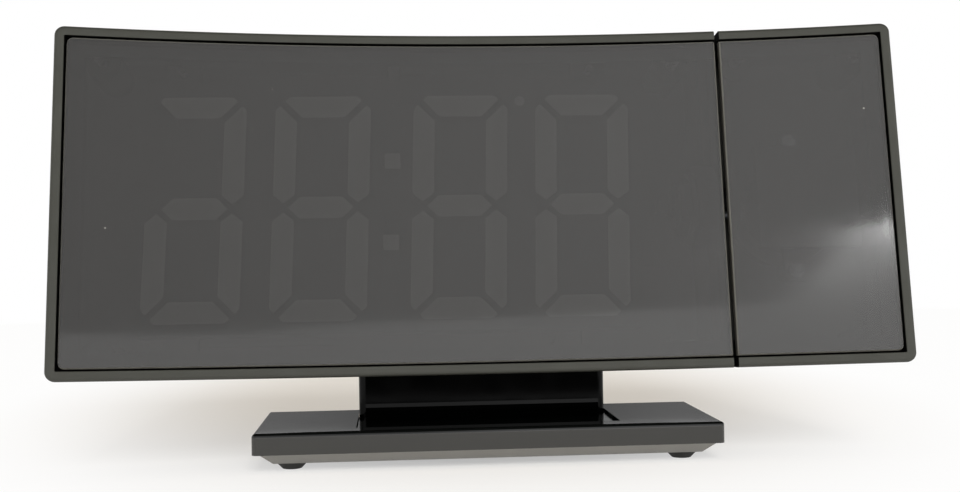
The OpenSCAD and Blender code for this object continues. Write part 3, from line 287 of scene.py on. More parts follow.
# zinc-plated steel: bright, slightly blue, with fine turning marks
def zincPlate():
    material, tree, shader, place = newMaterial("zincPlate", {"Metallic": 1.0})
    varyColour(tree, shader, place, "#9b9da1", "#b4b6ba", 2)
    varyRoughness(tree, shader, place, 0.22, 0.38, 0.8)
    addGrain(tree, shader, place, 0.2, 0.3, 0.00001)
    return material


# blackened steel of the swivel, with a thin oil film
def blackenedSteel():
    material, tree, shader, place = newMaterial("blackenedSteel", {"Metallic": 1.0})
    varyColour(tree, shader, place, "#1c1c1d", "#2a2a2b", 3)
    varyRoughness(tree, shader, place, 0.4, 0.55, 1)
    return material


# soft black rubber, matt, a little dusty
def softRubber():
    material, tree, shader, place = newMaterial("softRubber", {"Metallic": 0.0, "IOR": 1.52})
    varyColour(tree, shader, place, "#181817", "#22221f", 3)
    varyRoughness(tree, shader, place, 0.7, 0.85, 1.5)
    addGrain(tree, shader, place, 0.5, 0.7)
    return material


# coated optical glass, seen as a pale blue
def opticGlass():
    material, tree, shader, place = newMaterial("opticGlass", {"Metallic": 0.0, "IOR": 1.52, "Alpha": 0.35})
    varyColour(tree, shader, place, "#b7c6d6", "#c8d3dd", 8)
    varyRoughness(tree, shader, place, 0.01, 0.02, 4)
    return material


# yellow phosphor on the projector's lamp
def lampPhosphor():
    material, tree, shader, place = newMaterial("lampPhosphor", {"Metallic": 0.0, "IOR": 1.5})
    varyColour(tree, shader, place, "#d8c860", "#e6da7c", 1)
    varyRoughness(tree, shader, place, 0.25, 0.35, 1)
    return material


mats = dict(case=caseAbs(), rear=rearAbs(), tray=trayAbs(), window=smokedAcrylic(), cut=cutAcrylicAndHighlight(),
            neck=neckAbs(), plate=plateAbsPaintedReflection(), matte=matteBlack(), deep=blackAndPaintedShade(), segment=segmentEpoxy(),
            block=blockPaint(), board=solderMask(), steel=zincPlate(), black=blackenedSteel(),
            rubber=softRubber(), glass=opticGlass(), lamp=lampPhosphor())
print("materials ready:", len(mats))


# geometry node trees
def newTree(name, inputs):
    tree = bpy.data.node_groups.new(name, "GeometryNodeTree")
    tree.interface.new_socket("Geometry", in_out="INPUT", socket_type="NodeSocketGeometry")
    for label, kind in inputs.items():
        tree.interface.new_socket(label, in_out="INPUT", socket_type="NodeSocket" + kind)
    tree.interface.new_socket("Geometry", in_out="OUTPUT", socket_type="NodeSocketGeometry")
    return tree, tree.nodes.new("NodeGroupInput").outputs


# every tree ends the same way: real geometry, its material, and the second one on the faces marked "second"
def endTree(tree, geometry, first, second=None):
    real = addNode(tree, "GeometryNodeRealizeInstances", links={"Geometry": geometry})
    done = addNode(tree, "GeometryNodeSetMaterial", links={"Geometry": real.outputs[0], "Material": first})
    if second:
        marked = addNode(tree, "GeometryNodeInputNamedAttribute", {"data_type": "BOOLEAN", "Name": "second"})
        done = addNode(tree, "GeometryNodeSetMaterial", links={
            "Geometry": done.outputs[0], "Selection": marked.outputs[0], "Material": second})
    tree.links.new(done.outputs[0], addNode(tree, "NodeGroupOutput").inputs[0])


# runs a tree on a piece and keeps its result as a plain mesh
def settle(piece, tree, values):
    modifier = piece.modifiers.new(tree.name, "NODES")
    modifier.node_group = tree
    for socket in tree.interface.items_tree:
        if socket.in_out == "INPUT" and socket.name in values:
            modifier[socket.identifier] = values[socket.name]
    piece.update_tag()
    bpy.context.view_layer.update()
    result = bpy.data.meshes.new_from_object(piece.evaluated_get(bpy.context.evaluated_depsgraph_get()))
    piece.modifiers.remove(modifier)
    flat, name = piece.data, piece.data.name
    piece.data = result
    bpy.data.meshes.remove(flat)
    result.name = name
    return piece


def newPiece(name, points, faces=(), second=()):
    mesh = bpy.data.meshes.new(name)
    mesh.from_pydata([tuple(p) for p in points], [], [list(f) for f in faces])
    if faces:
        marks = mesh.attributes.new("second", "BOOLEAN", "FACE")
        for index in range(len(faces)):
            marks.data[index].value = index in second
    piece = bpy.data.objects.new(name, mesh)
    bpy.context.scene.collection.objects.link(piece)
    return piece


# joins doubled points, turns the faces outwards and keeps the true edges sharp
def closeMesh(piece, smoothAngle=30):
    work = bmesh.new()
    work.from_mesh(piece.data)
    bmesh.ops.remove_doubles(work, verts=work.verts, dist=1e-7)
    bmesh.ops.dissolve_degenerate(work, edges=work.edges, dist=1e-8)
    bmesh.ops.recalc_face_normals(work, faces=work.faces)
    work.to_mesh(piece.data)
    work.free()
    piece.data.shade_smooth()
    piece.data.set_sharp_from_angle(angle=math.radians(smoothAngle))
    weigh = piece.modifiers.new("evenNormals", "WEIGHTED_NORMAL")
    weigh.keep_sharp = True
    return piece


# bends a flat piece, whose y is its depth, round the slab's curve and leans it back; low on the slab it also
# follows the underside's slope
def bendingTree():
    tree, given = newTree("bendToFace", {
        "Face Radius": "Float", "Face Y": "Float", "Face Z": "Float", "Lean": "Float", "Half Height": "Float",
        "Underside Slope": "Float", "Rim Edge": "Float", "First Material": "Material",
        "Second Material": "Material"})
    place = addNode(tree, "ShaderNodeSeparateXYZ", links={
        0: addNode(tree, "GeometryNodeInputPosition").outputs[0]}).outputs
    reach = addMath(tree, "ADD", given["Face Radius"], place["Y"])
    square = addMath(tree, "SUBTRACT", addMath(tree, "MULTIPLY", reach, reach),
                     addMath(tree, "MULTIPLY", place["X"], place["X"]))
    y = addMath(tree, "SUBTRACT", addMath(tree, "SQRT", square), given["Face Radius"])
    beyond = addMath(tree, "MAXIMUM", addMath(tree, "SUBTRACT", place["Y"], given["Rim Edge"]), 0.0)
    rise = addMath(tree, "MULTIPLY", beyond, addMath(tree, "TANGENT", given["Underside Slope"]))
    low = addMath(tree, "DIVIDE", addMath(tree, "MAXIMUM", addMath(tree, "MULTIPLY", place["Z"], -1.0), 0.0),
                  given["Half Height"])
    z = addMath(tree, "ADD", place["Z"], addMath(tree, "MULTIPLY", rise, low))
    bent = addNode(tree, "ShaderNodeCombineXYZ", links={"X": place["X"], "Y": y, "Z": z})
    back = addMath(tree, "MULTIPLY", given["Lean"], -1.0)
    leant = addNode(tree, "ShaderNodeVectorRotate", {"rotation_type": "X_AXIS"},
                    {"Vector": bent.outputs[0], "Angle": back})
    face = addNode(tree, "ShaderNodeCombineXYZ", links={
        "Y": addMath(tree, "MULTIPLY", given["Face Y"], -1.0), "Z": given["Face Z"]})
    there = addNode(tree, "ShaderNodeVectorMath", {"operation": "ADD"},
                    {0: leant.outputs[0], 1: face.outputs[0]})
    moved = addNode(tree, "GeometryNodeSetPosition", links={
        "Geometry": given["Geometry"], "Position": there.outputs[0]})
    endTree(tree, moved.outputs[0], given["First Material"], given["Second Material"])
    return tree


bendToFace = bendingTree()


def bend(piece, first, second):
    settle(piece, bendToFace, {
        "Face Radius": slab["faceRadius"], "Face Y": slab["faceY"], "Face Z": slab["faceZ"],
        "Lean": slab["lean"], "Half Height": halfHeight, "Underside Slope": slab["undersideSlope"],
        "Rim Edge": slab["rimEdge"], "First Material": mats[first], "Second Material": mats[second]})
    return closeMesh(piece)


# bezels
bezel = dict(
    rimWidth=0.0022,
    innerEdge=0.00015,
    windowSeat=0.0022,
    ledgeWidth=0.004,
    ledgeThickness=0.0012,
    leastCorner=0.0003,
    cornerSteps=8,
    railSteps=72,
)


# (inset, depth) round the bezel's wall, from the joint line over the rim to the ledge and back
def bezelSection():
    b, edge = bezel, slab["rimEdge"]
    seat, back = b["windowSeat"], slab["splitDepth"]
    points = [(0, back)]
    points += [(edge + x, edge + y) for x, y in arcPoints(0, 0, edge, 180, 270, 6)]
    points += [(b["rimWidth"] - b["innerEdge"] + x, b["innerEdge"] + y)
               for x, y in arcPoints(0, 0, b["innerEdge"], 270, 360, 3)]
    lit = len(points)
    points += [(b["rimWidth"], seat), (b["rimWidth"] + b["ledgeWidth"], seat),
               (b["rimWidth"] + b["ledgeWidth"], seat + b["ledgeThickness"]),
               (slab["wall"], seat + b["ledgeThickness"]), (slab["wall"], back)]
    return points, lit


# the bezel's path in x and z, from the gap along the top, down the end and back along the bottom
def bezelRail(inset, side):
    radius = max(slab["cornerRadius"] - inset, bezel["leastCorner"])
    end, top = halfWidth - inset, halfHeight - inset
    start = -mainEnd if side < 0 else projectorX
    steps = bezel["railSteps"] if side < 0 else bezel["railSteps"] // 4
    run = [(start + (end - radius - start) * i / steps, top) for i in range(steps)]
    half = run + arcPoints(end - radius, top - radius, radius, 90, 0, bezel["cornerSteps"])
    return [(side * x, z) for x, z in half + [(x, -z) for x, z in reversed(half)]]


def makeBezel(name, side):
    section, lit = bezelSection()
    rings = [[(x, depth, z) for x, z in bezelRail(inset, side)] for inset, depth in section]
    count, faces, dark = len(rings[0]), [], set()
    for r in range(len(rings)):
        a, b = r * count, ((r + 1) % len(rings)) * count
        # the groove's wall, the ledge and the wall behind it take the second, flat black material: painted
        # shade in the groove
        if lit - 1 <= r < len(rings) - 1:
            dark |= set(range(len(faces), len(faces) + count - 1))
        faces += [(a + i, a + i + 1, b + i + 1, b + i) for i in range(count - 1)]
    # the two ends at the gap take it too: painted shade in the gap
    dark |= {len(faces), len(faces) + 1}
    faces += [[r * count for r in range(len(rings))], [r * count + count - 1 for r in range(len(rings))]]
    return bend(newPiece(name, [p for ring in rings for p in ring], faces, dark), "case", "deep")


mainBezel = makeBezel("mainBezel", -1)
projectorBezel = makeBezel("projectorBezel", 1)
print("bezels ready")

# windows
window = dict(
    inset=0.00265,
    sink=0.0002,
    seat=0.00217,
    cutEdge=0.00028,
    cornerRadius=0.0014,
    columns=96,
    rows=10,
)


# a closed ring round the window at one place along the slab; its first and middle steps are the cut edge
def windowSection(x, halfZ, front):
    w = window
    inner = halfZ - w["cutEdge"]
    ring = [(x, front + w["cutEdge"], -halfZ)]
    ring += [(x, front, -inner + 2 * inner * i / w["rows"]) for i in range(w["rows"] + 1)]
    ring += [(x, front + w["cutEdge"], halfZ), (x, w["seat"], halfZ)]
    ring += [(x, w["seat"], halfZ - 2 * halfZ * i / w["rows"]) for i in range(1, w["rows"] + 1)]
    return ring


def makeWindow(name, side):
    w = window
    end = halfWidth - w["inset"]
    start = -mainEnd if side < 0 else projectorX
    halfZ = halfHeight - w["inset"]
    r = w["cornerRadius"]
    columns = w["columns"] if side < 0 else w["columns"] // 4
    flat = start + w["cutEdge"]
    stations = [(start, halfZ, w["sink"] + w["cutEdge"]), (flat, halfZ, w["sink"])]
    stations += [(flat + (end - r - flat) * i / columns, halfZ, w["sink"]) for i in range(1, columns + 1)]
    stations += [(x, z, w["sink"]) for x, z in arcPoints(end - r, halfZ - r, r, 90, 30, 6)[1:]]
    stations += [(end, halfZ - r, w["sink"] + w["cutEdge"])]
    rings = [windowSection(side * x, z, front) for x, z, front in stations]
    count = len(rings[0])
    faces, cut = [], set()
    for s in range(len(rings) - 1):
        for i in range(count):
            atEnd = s in (0, len(rings) - 2) and i <= w["rows"] + 1
            if i in (0, w["rows"] + 1) or atEnd:
                cut.add(len(faces))
            a, b = s * count, (s + 1) * count
            faces.append((a + i, a + (i + 1) % count, b + (i + 1) % count, b + i))
    cut |= {len(faces), len(faces) + 1}
    faces += [list(range(count)), [(len(rings) - 1) * count + i for i in range(count)]]
    # the cut edge faces take the pale edge colour, partly a painted highlight
    return bend(newPiece(name, [p for ring in rings for p in ring], faces, cut), "window", "cut")


mainWindow = makeWindow("mainWindow", -1)
projectorWindow = makeWindow("projectorWindow", 1)
print("windows ready")

# screws
screw = dict(
    headRadius=0.0023,
    headHeight=0.0016,
    shankRadius=0.0013,
    recessWidth=0.00055,
    recessReach=0.0031,
    recessDepth=0.0008,
    rimShare=0.55,
    crownShare=0.72,
    shankMiddle=-0.499,
    sides=40,
)


# a pan head with a cross recess and its shank, once on every point of the piece; the shank's middle is set so
# that it laps a hair into the head, which lets the union join them
def screwTree():
    tree, given = newTree("crossHeadScrews", {
        "Head Radius": "Float", "Head Height": "Float", "Shank Radius": "Float", "Shank Length": "Float",
        "Recess Width": "Float", "Recess Reach": "Float", "Recess Depth": "Float", "Sides": "Int",
        "Turn": "Float", "Material": "Material"})

    def raised(mesh, height):
        lift = addNode(tree, "ShaderNodeCombineXYZ", links={"Z": height})
        return addNode(tree, "GeometryNodeTransform", links={
            "Geometry": mesh, "Translation": lift.outputs[0]}).outputs[0]

    rim = addMath(tree, "MULTIPLY", given["Head Height"], screw["rimShare"])
    crown = addMath(tree, "SUBTRACT", given["Head Height"], rim)
    drum = addNode(tree, "GeometryNodeMeshCylinder", links={
        "Vertices": given["Sides"], "Radius": given["Head Radius"], "Depth": rim})
    dome = addNode(tree, "GeometryNodeMeshCone", links={
        "Vertices": given["Sides"], "Radius Bottom": given["Head Radius"],
        "Radius Top": addMath(tree, "MULTIPLY", given["Head Radius"], screw["crownShare"]), "Depth": crown})
    shank = addNode(tree, "GeometryNodeMeshCylinder", links={
        "Vertices": given["Sides"], "Radius": given["Shank Radius"], "Depth": given["Shank Length"]})
    head = addNode(tree, "GeometryNodeMeshBoolean", {"operation": "UNION"})
    for part in (raised(drum.outputs["Mesh"], addMath(tree, "MULTIPLY", rim, 0.5)),
                 raised(dome.outputs["Mesh"], rim),
                 raised(shank.outputs["Mesh"], addMath(tree, "MULTIPLY", given["Shank Length"],
                                                       screw["shankMiddle"]))):
        tree.links.new(part, head.inputs["Mesh 2"])
    slots = []
    for across, along in (("X", "Y"), ("Y", "X")):
        size = addNode(tree, "ShaderNodeCombineXYZ", links={
            across: given["Recess Width"], along: given["Recess Reach"],
            "Z": addMath(tree, "MULTIPLY", given["Recess Depth"], 2.0)})
        bar = addNode(tree, "GeometryNodeMeshCube", links={"Size": size.outputs[0]})
        slots.append(raised(bar.outputs["Mesh"], given["Head Height"]))
    cut = addNode(tree, "GeometryNodeMeshBoolean", {"operation": "DIFFERENCE"}, {"Mesh 1": head.outputs[0]})
    for part in slots:
        tree.links.new(part, cut.inputs["Mesh 2"])
    facing = addNode(tree, "ShaderNodeCombineXYZ", links={"X": given["Turn"]})
    placed = addNode(tree, "GeometryNodeInstanceOnPoints", links={
        "Points": given["Geometry"], "Instance": cut.outputs[0], "Rotation": facing.outputs[0]})
    endTree(tree, placed.outputs[0], given["Material"])
    return tree


crossHeadScrews = screwTree()


def makeScrews(name, seats, length, turn):
    piece = settle(newPiece(name, seats), crossHeadScrews, {
        "Head Radius": screw["headRadius"], "Head Height": screw["headHeight"],
        "Shank Radius": screw["shankRadius"], "Shank Length": length, "Recess Width": screw["recessWidth"],
        "Recess Reach": screw["recessReach"], "Recess Depth": screw["recessDepth"], "Sides": screw["sides"],
        "Turn": turn, "Material": mats["steel"]})
    return closeMesh(piece)


rearward = -math.pi / 2 - slab["lean"]
caseScrew = dict(inset=0.0085, projectorInset=0.0056, fromTop=0.0056, floor=0.002, thread=0.005,
                 tipClear=0.0002)
padScrew = dict(x=0.020, z=(-0.0325, -0.0225), above=0.002, length=0.0089)
trayScrew = dict(x=0.04435, seat=0.00345, length=0.00365)


def caseSeats(places):
    top = halfHeight - caseScrew["fromTop"]
    return [leanBack(x, curveY(x, slab["splitDepth"]) + caseScrew["floor"], z)
            for x in places for z in (-top, top)]


caseLength = caseScrew["floor"] + caseScrew["thread"] - caseScrew["tipClear"]
mainPlaces = (caseScrew["inset"] - halfWidth, mainEnd - caseScrew["inset"])
projectorPlaces = (projectorX + caseScrew["projectorInset"], halfWidth - caseScrew["projectorInset"])
mainScrews = makeScrews("caseScrews", caseSeats(mainPlaces), caseLength, rearward)
projectorScrews = makeScrews("projectorScrews", caseSeats(projectorPlaces), caseLength, rearward)
padScrews = makeScrews("padScrews", [leanBack(x, slab["depth"] + padScrew["above"], z)
                                     for x in (-padScrew["x"], padScrew["x"]) for z in padScrew["z"]],
                       padScrew["length"], rearward)
trayScrews = makeScrews("trayScrews", [(x, 0, trayScrew["seat"]) for x in (-trayScrew["x"], trayScrew["x"])],
                        trayScrew["length"], math.pi)
print("screws ready")

# feet
foot = dict(
    height=0.00165,
    radius=0.0038,
    tipRadius=0.0025,
    tipHeight=0.0003,
    pegRadius=0.0014,
    pegTop=0.00265,
    span=0.0887,
    reach=0.0196,
    sides=48,
)


# a soft foot with a rounded tip and the peg that holds it, once on every point of the piece
def footTree():
    tree, given = newTree("rubberFeet", {
        "Height": "Float", "Radius": "Float", "Tip Radius": "Float", "Tip Height": "Float",
        "Peg Radius": "Float", "Peg Top": "Float", "Sides": "Int", "Material": "Material"})

    def stage(lowRadius, highRadius, low, high):
        tall = addMath(tree, "SUBTRACT", high, low)
        shape = addNode(tree, "GeometryNodeMeshCone", links={
            "Vertices": given["Sides"], "Radius Bottom": lowRadius, "Radius Top": highRadius, "Depth": tall})
        lift = addNode(tree, "ShaderNodeCombineXYZ", links={"Z": low})
        return addNode(tree, "GeometryNodeTransform", links={
            "Geometry": shape.outputs["Mesh"], "Translation": lift.outputs[0]}).outputs[0]

    ground = addMath(tree, "MULTIPLY", given["Tip Height"], 0.0)
    tip = addMath(tree, "SUBTRACT", given["Tip Radius"], given["Tip Height"])
    foot = addNode(tree, "GeometryNodeMeshBoolean", {"operation": "UNION"})
    for part in (stage(tip, given["Tip Radius"], ground, given["Tip Height"]),
                 stage(given["Tip Radius"], given["Radius"], given["Tip Height"], given["Height"]),
                 stage(given["Peg Radius"], given["Peg Radius"], given["Tip Height"], given["Peg Top"])):
        tree.links.new(part, foot.inputs["Mesh 2"])
    placed = addNode(tree, "GeometryNodeInstanceOnPoints", links={
        "Points": given["Geometry"], "Instance": foot.outputs[0]})
    endTree(tree, placed.outputs[0], given["Material"])
    return tree


feet = closeMesh(settle(
    newPiece("softFeet", [(x, y, 0) for x in (-foot["span"] / 2, foot["span"] / 2)
                          for y in (-foot["reach"] / 2, foot["reach"] / 2)]), footTree(), {
        "Height": foot["height"], "Radius": foot["radius"], "Tip Radius": foot["tipRadius"],
        "Tip Height": foot["tipHeight"], "Peg Radius": foot["pegRadius"], "Peg Top": foot["pegTop"],
        "Sides": foot["sides"], "Material": mats["rubber"]}))
print("feet ready")

# focus ring
ring = dict(
    radius=0.01155,
    flangeRadius=0.0129,
    flangeDepth=0.001,
    lipRadius=0.0111,
    lipDepth=0.0005,
    depth=0.0062,
    neckBore=0.00945,
    neckDepth=0.0038,
    bore=0.0078,
    ribRadius=0.00045,
    ribs=36,
    ribStart=0.0046,
    ribEnd=0.0057,
    ribSides=12,
    cutterReach=0.001,
    lensRimRadius=0.0144,
    lensRimProud=0.0003,
    sunk=0.0042,
    sides=96,
)


# a turned ring with a flange and two bores, and ribs for the fingers round its rim
def ringTree():
    tree, given = newTree("ribbedRing", {
        "Radius": "Float", "Flange Radius": "Float", "Flange Depth": "Float", "Lip Radius": "Float",
        "Lip Depth": "Float", "Depth": "Float", "Neck Bore": "Float", "Neck Depth": "Float", "Bore": "Float",
        "Rib Radius": "Float", "Ribs": "Int", "Rib Start": "Float", "Rib End": "Float", "Sides": "Int",
        "Turn": "Float", "Material": "Material"})

    def stage(lowRadius, highRadius, low, high, sides=None):
        tall = addMath(tree, "SUBTRACT", high, low)
        shape = addNode(tree, "GeometryNodeMeshCone", {"Vertices": ring["ribSides"]}, {
            "Radius Bottom": lowRadius, "Radius Top": highRadius, "Depth": tall})
        if sides:
            tree.links.new(sides, shape.inputs["Vertices"])
        lift = addNode(tree, "ShaderNodeCombineXYZ", links={"Z": low})
        return addNode(tree, "GeometryNodeTransform", links={
            "Geometry": shape.outputs["Mesh"], "Translation": lift.outputs[0]}).outputs[0]

    ground = addMath(tree, "MULTIPLY", given["Depth"], 0.0)
    under = addMath(tree, "SUBTRACT", ground, ring["cutterReach"])
    over = addMath(tree, "ADD", given["Depth"], ring["cutterReach"])
    shoulder = addMath(tree, "SUBTRACT", given["Depth"], given["Lip Depth"])
    body = addNode(tree, "GeometryNodeMeshBoolean", {"operation": "UNION"})
    for part in (stage(given["Radius"], given["Radius"], ground, shoulder, given["Sides"]),
                 stage(given["Radius"], given["Lip Radius"], shoulder, given["Depth"], given["Sides"]),
                 stage(given["Flange Radius"], given["Flange Radius"], ground, given["Flange Depth"],
                       given["Sides"])):
        tree.links.new(part, body.inputs["Mesh 2"])
    hollow = addNode(tree, "GeometryNodeMeshBoolean", {"operation": "DIFFERENCE"},
                     {"Mesh 1": body.outputs[0]})
    for part in (stage(given["Neck Bore"], given["Neck Bore"], under, given["Neck Depth"], given["Sides"]),
                 stage(given["Bore"], given["Bore"], under, over, given["Sides"])):
        tree.links.new(part, hollow.inputs["Mesh 2"])
    circle = addNode(tree, "GeometryNodeMeshCircle", links={
        "Vertices": given["Ribs"], "Radius": given["Radius"]})
    rib = stage(given["Rib Radius"], given["Rib Radius"], given["Rib Start"], given["Rib End"])
    ribs = addNode(tree, "GeometryNodeInstanceOnPoints", links={"Points": circle.outputs[0], "Instance": rib})
    both = addNode(tree, "GeometryNodeJoinGeometry")
    for part in (hollow.outputs[0], ribs.outputs[0]):
        tree.links.new(part, both.inputs[0])
    facing = addNode(tree, "ShaderNodeCombineXYZ", links={"X": given["Turn"]})
    placed = addNode(tree, "GeometryNodeInstanceOnPoints", links={
        "Points": given["Geometry"], "Instance": both.outputs[0], "Rotation": facing.outputs[0]})
    endTree(tree, placed.outputs[0], given["Material"])
    return tree


lensX = (projectorX + halfWidth) / 2
lensFace = curveY(lensX - ring["lensRimRadius"], slab["depth"]) + ring["lensRimProud"]
ringSeat = leanBack(lensX, lensFace - ring["sunk"], 0)
focusRing = closeMesh(settle(newPiece("gripRing", [ringSeat]), ringTree(), {
    "Radius": ring["radius"], "Flange Radius": ring["flangeRadius"], "Flange Depth": ring["flangeDepth"],
    "Lip Radius": ring["lipRadius"], "Lip Depth": ring["lipDepth"], "Depth": ring["depth"],
    "Neck Bore": ring["neckBore"], "Neck Depth": ring["neckDepth"], "Bore": ring["bore"],
    "Rib Radius": ring["ribRadius"], "Ribs": ring["ribs"], "Rib Start": ring["ribStart"],
    "Rib End": ring["ribEnd"], "Sides": ring["sides"], "Turn": rearward, "Material": mats["matte"]}))
print("focus ring ready")

# what each piece rides on and stands for
dressed = [
    (mainBezel, "root", "case_plastic", "front_case"),
    (projectorBezel, "projector", "case_plastic", "projector_front_case"),
    (mainWindow, "root", "smoked_window", "display_window"),
    (projectorWindow, "projector", "smoked_window", "projector_window"),
    (mainScrews, "root", "steel", "case_screws"),
    (projectorScrews, "projector", "steel", "projector_screws"),
    (padScrews, "root", "steel", "pad_screws"),
    (trayScrews, "root", "steel", "base_screws"),
    (feet, "root", "rubber", "rubber_feet"),
    (focusRing, "focus_ring", "black_plastic", "focus_ring"),
]
for piece, bodyName, slotName, hidden in dressed:
    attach(piece, bodyName)
    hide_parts(hidden)

# finishes of the CAD's own pieces
finishes = dict(
    rear=["rear_cover", "projector_rear_cover"],
    neck=["neck"],
    plate=["base_shell"],
    tray=["tray"],
    matte=["spindle", "swivel_washer", "optical_tube", "lens_barrel", "focus_ring", "snooze_button",
           "battery_cap", "key_switches", "speaker", "alarm_button", "time_button", "up_button",
           "down_button", "dimmer_button", "projection_button"],
    # the swivel plate gets the flat black as painted shade, so that the gap stays dark
    deep=["swivel_plate", "main_lead", "projector_lead"],
    segment=["digit_segments"],
    block=["digit_block"],
    board=["display_board", "control_board", "lamp_board"],
    steel=["display_screws", "control_screws", "case_screws", "pad_screws", "neck_screws", "base_screws",
           "projector_screws", "optics_screws", "spindle_screws", "cell_contact", "coin_cell", "power_inlet",
           "usb_socket", "ballast"],
    black=["swivel_nut"],
    rubber=["rubber_feet"],
    glass=["condenser_lens", "projection_lens", "clock_slide"],
    lamp=["lamp"],
    case=["front_case", "projector_front_case"],
    window=["display_window", "projector_window"],
)
for finish, names in finishes.items():
    for name in names:
        node = cadNodes[name]
        node.data.materials.clear()
        node.data.materials.append(mats[finish])

# widths of the soft edges that moulding leaves on the CAD's own pieces
softened = dict(neck=0.0003, base_shell=0.00025, tray=0.00025, rear_cover=0.0003, projector_rear_cover=0.0003,
                snooze_button=0.0003, battery_cap=0.0003, swivel_plate=0.0001, lens_barrel=0.00015,
                alarm_button=0.00025, time_button=0.00025, up_button=0.00025, down_button=0.00025,
                dimmer_button=0.00025, projection_button=0.00025)
for name, width in softened.items():
    node = cadNodes[name]
    node.modifiers.new("weld", "WELD").merge_threshold = 1e-6
    bevel = node.modifiers.new("softEdge", "BEVEL")
    bevel.width = width
    bevel.segments = 2
    bevel.limit_method = "ANGLE"
    bevel.angle_limit = math.radians(35)
    bevel.use_clamp_overlap = True
    node.modifiers.new("evenNormals", "WEIGHTED_NORMAL").keep_sharp = True
print("CAD pieces finished:", sum(len(names) for names in finishes.values()))

# studio; the levels are strengths, where 1 shows as white, and a pair is low and high or near and far
studio = dict(
    floorSize=4.0,
    floorWhite=(0.2, 0.95),
    shadePlace=(0.0, 0.12),
    shadeReach=(0.12, 0.17),
    shadeFade=(0.4, 1.3),
    farWhite=(0.3, 0.7),
    skyColour="#fff5e6",
    skyLow=0.12,
    skyHigh=0.64,
    keyPower=18.0,
    keySize=0.7,
    keyPlace=(0.12, -1.45, 1.05),
    upperLevel=(0.77, 1.26),
    stripLevel=(1.41, 1.87),
    levelSpan=(0.066, 0.30),
    fieldBlur=0.005,
    glowSpan=(0.272, 0.3005),
    glowClimb=3.0,
    glowLevel=15.0,
    glowFall=0.045,
    rearLevel=(0.095, 0.215),
    rearMiddle=0.044,
    rearReach=0.17,
    darkLevel=0.04,
)
# the upper edge, in x and z, of the pale field that the panel reflects
fieldEdge = ((0.05, 0.675), (0.107, 0.675), (0.145, 0.694), (0.20, 0.702), (0.243, 0.709),
             (0.274, 0.712), (0.283, 0.750), (0.2935, 0.822), (0.3005, 0.878), (0.35, 0.95))


# is the ray one that shows the background: seen straight, mirrored or through glass
def seenRays(tree):
    path = addNode(tree, "ShaderNodeLightPath").outputs
    both = addMath(tree, "ADD", path["Is Camera Ray"], path["Is Glossy Ray"])
    return addMath(tree, "ADD", both, path["Is Transmission Ray"], clamp=True)


# matt paper: near the clock it shows the real shadow, and in an ellipse behind the stand it is left dimmer, a
# painted shade laid where the shadow falls; further off it turns to plain white
def makeFloor():
    material, tree, shader, place = newMaterial("paperSweep", {"Metallic": 0.0, "Roughness": 0.9,
                                                               "Specular IOR Level": 0.2})
    varyColour(tree, shader, place, "#fbf8f3", "#fefcf8", 300)
    distance = addNode(tree, "ShaderNodeVectorMath", {"operation": "LENGTH"}, {0: place}).outputs["Value"]
    # the ellipse behind the stand where the white share stays low: painted shade
    shade = addNode(tree, "ShaderNodeVectorMath", {"operation": "SUBTRACT", 1: (*studio["shadePlace"], 0)},
                    {0: place})
    scaled = addNode(tree, "ShaderNodeVectorMath", {"operation": "DIVIDE", 1: (*studio["shadeReach"], 1)},
                     {0: shade.outputs[0]})
    reach = addNode(tree, "ShaderNodeVectorMath", {"operation": "LENGTH"}, {0: scaled.outputs[0]})
    near = addRange(tree, reach.outputs["Value"], *studio["shadeFade"], *studio["floorWhite"], True)
    white = addMath(tree, "MAXIMUM", near, addRange(tree, distance, *studio["farWhite"], 0, 1, True))
    share = addMath(tree, "MULTIPLY", white, seenRays(tree))
    glow = addNode(tree, "ShaderNodeEmission", {"Color": (1, 1, 1, 1), "Strength": 1.0})
    mix = addNode(tree, "ShaderNodeMixShader", links={0: share, 1: shader.outputs[0], 2: glow.outputs[0]})
    output = next(n for n in tree.nodes if n.type == "OUTPUT_MATERIAL")
    tree.links.new(mix.outputs[0], output.inputs["Surface"])
    size = studio["floorSize"]
    floor = newPiece("floor", [(-size, -size, 0), (size, -size, 0), (size, size, 0), (-size, size, 0)],
                     [(0, 1, 2, 3)])
    floor.data.materials.append(material)
    return floor


# a card that only mirrors see; its level is a number, or a function that works it out from the place
def makeCard(name, corners, level):
    material = bpy.data.materials.new(name)
    material.use_nodes = True
    tree = material.node_tree
    tree.nodes.clear()
    light = addNode(tree, "ShaderNodeEmission", {"Color": (1, 1, 1, 1)})
    if callable(level):
        place = addNode(tree, "ShaderNodeTexCoord").outputs["Object"]
        axes = addNode(tree, "ShaderNodeSeparateXYZ", links={0: place}).outputs
        tree.links.new(level(tree, axes), light.inputs["Strength"])
    else:
        light.inputs["Strength"].default_value = level
    addNode(tree, "ShaderNodeOutputMaterial", links={"Surface": light.outputs[0]})
    card = newPiece(name, corners, [(0, 1, 2, 3)])
    card.data.materials.append(material)
    for flag in ("visible_camera", "visible_diffuse", "visible_transmission", "visible_volume_scatter",
                 "visible_shadow"):
        setattr(card, flag, False)
    return card


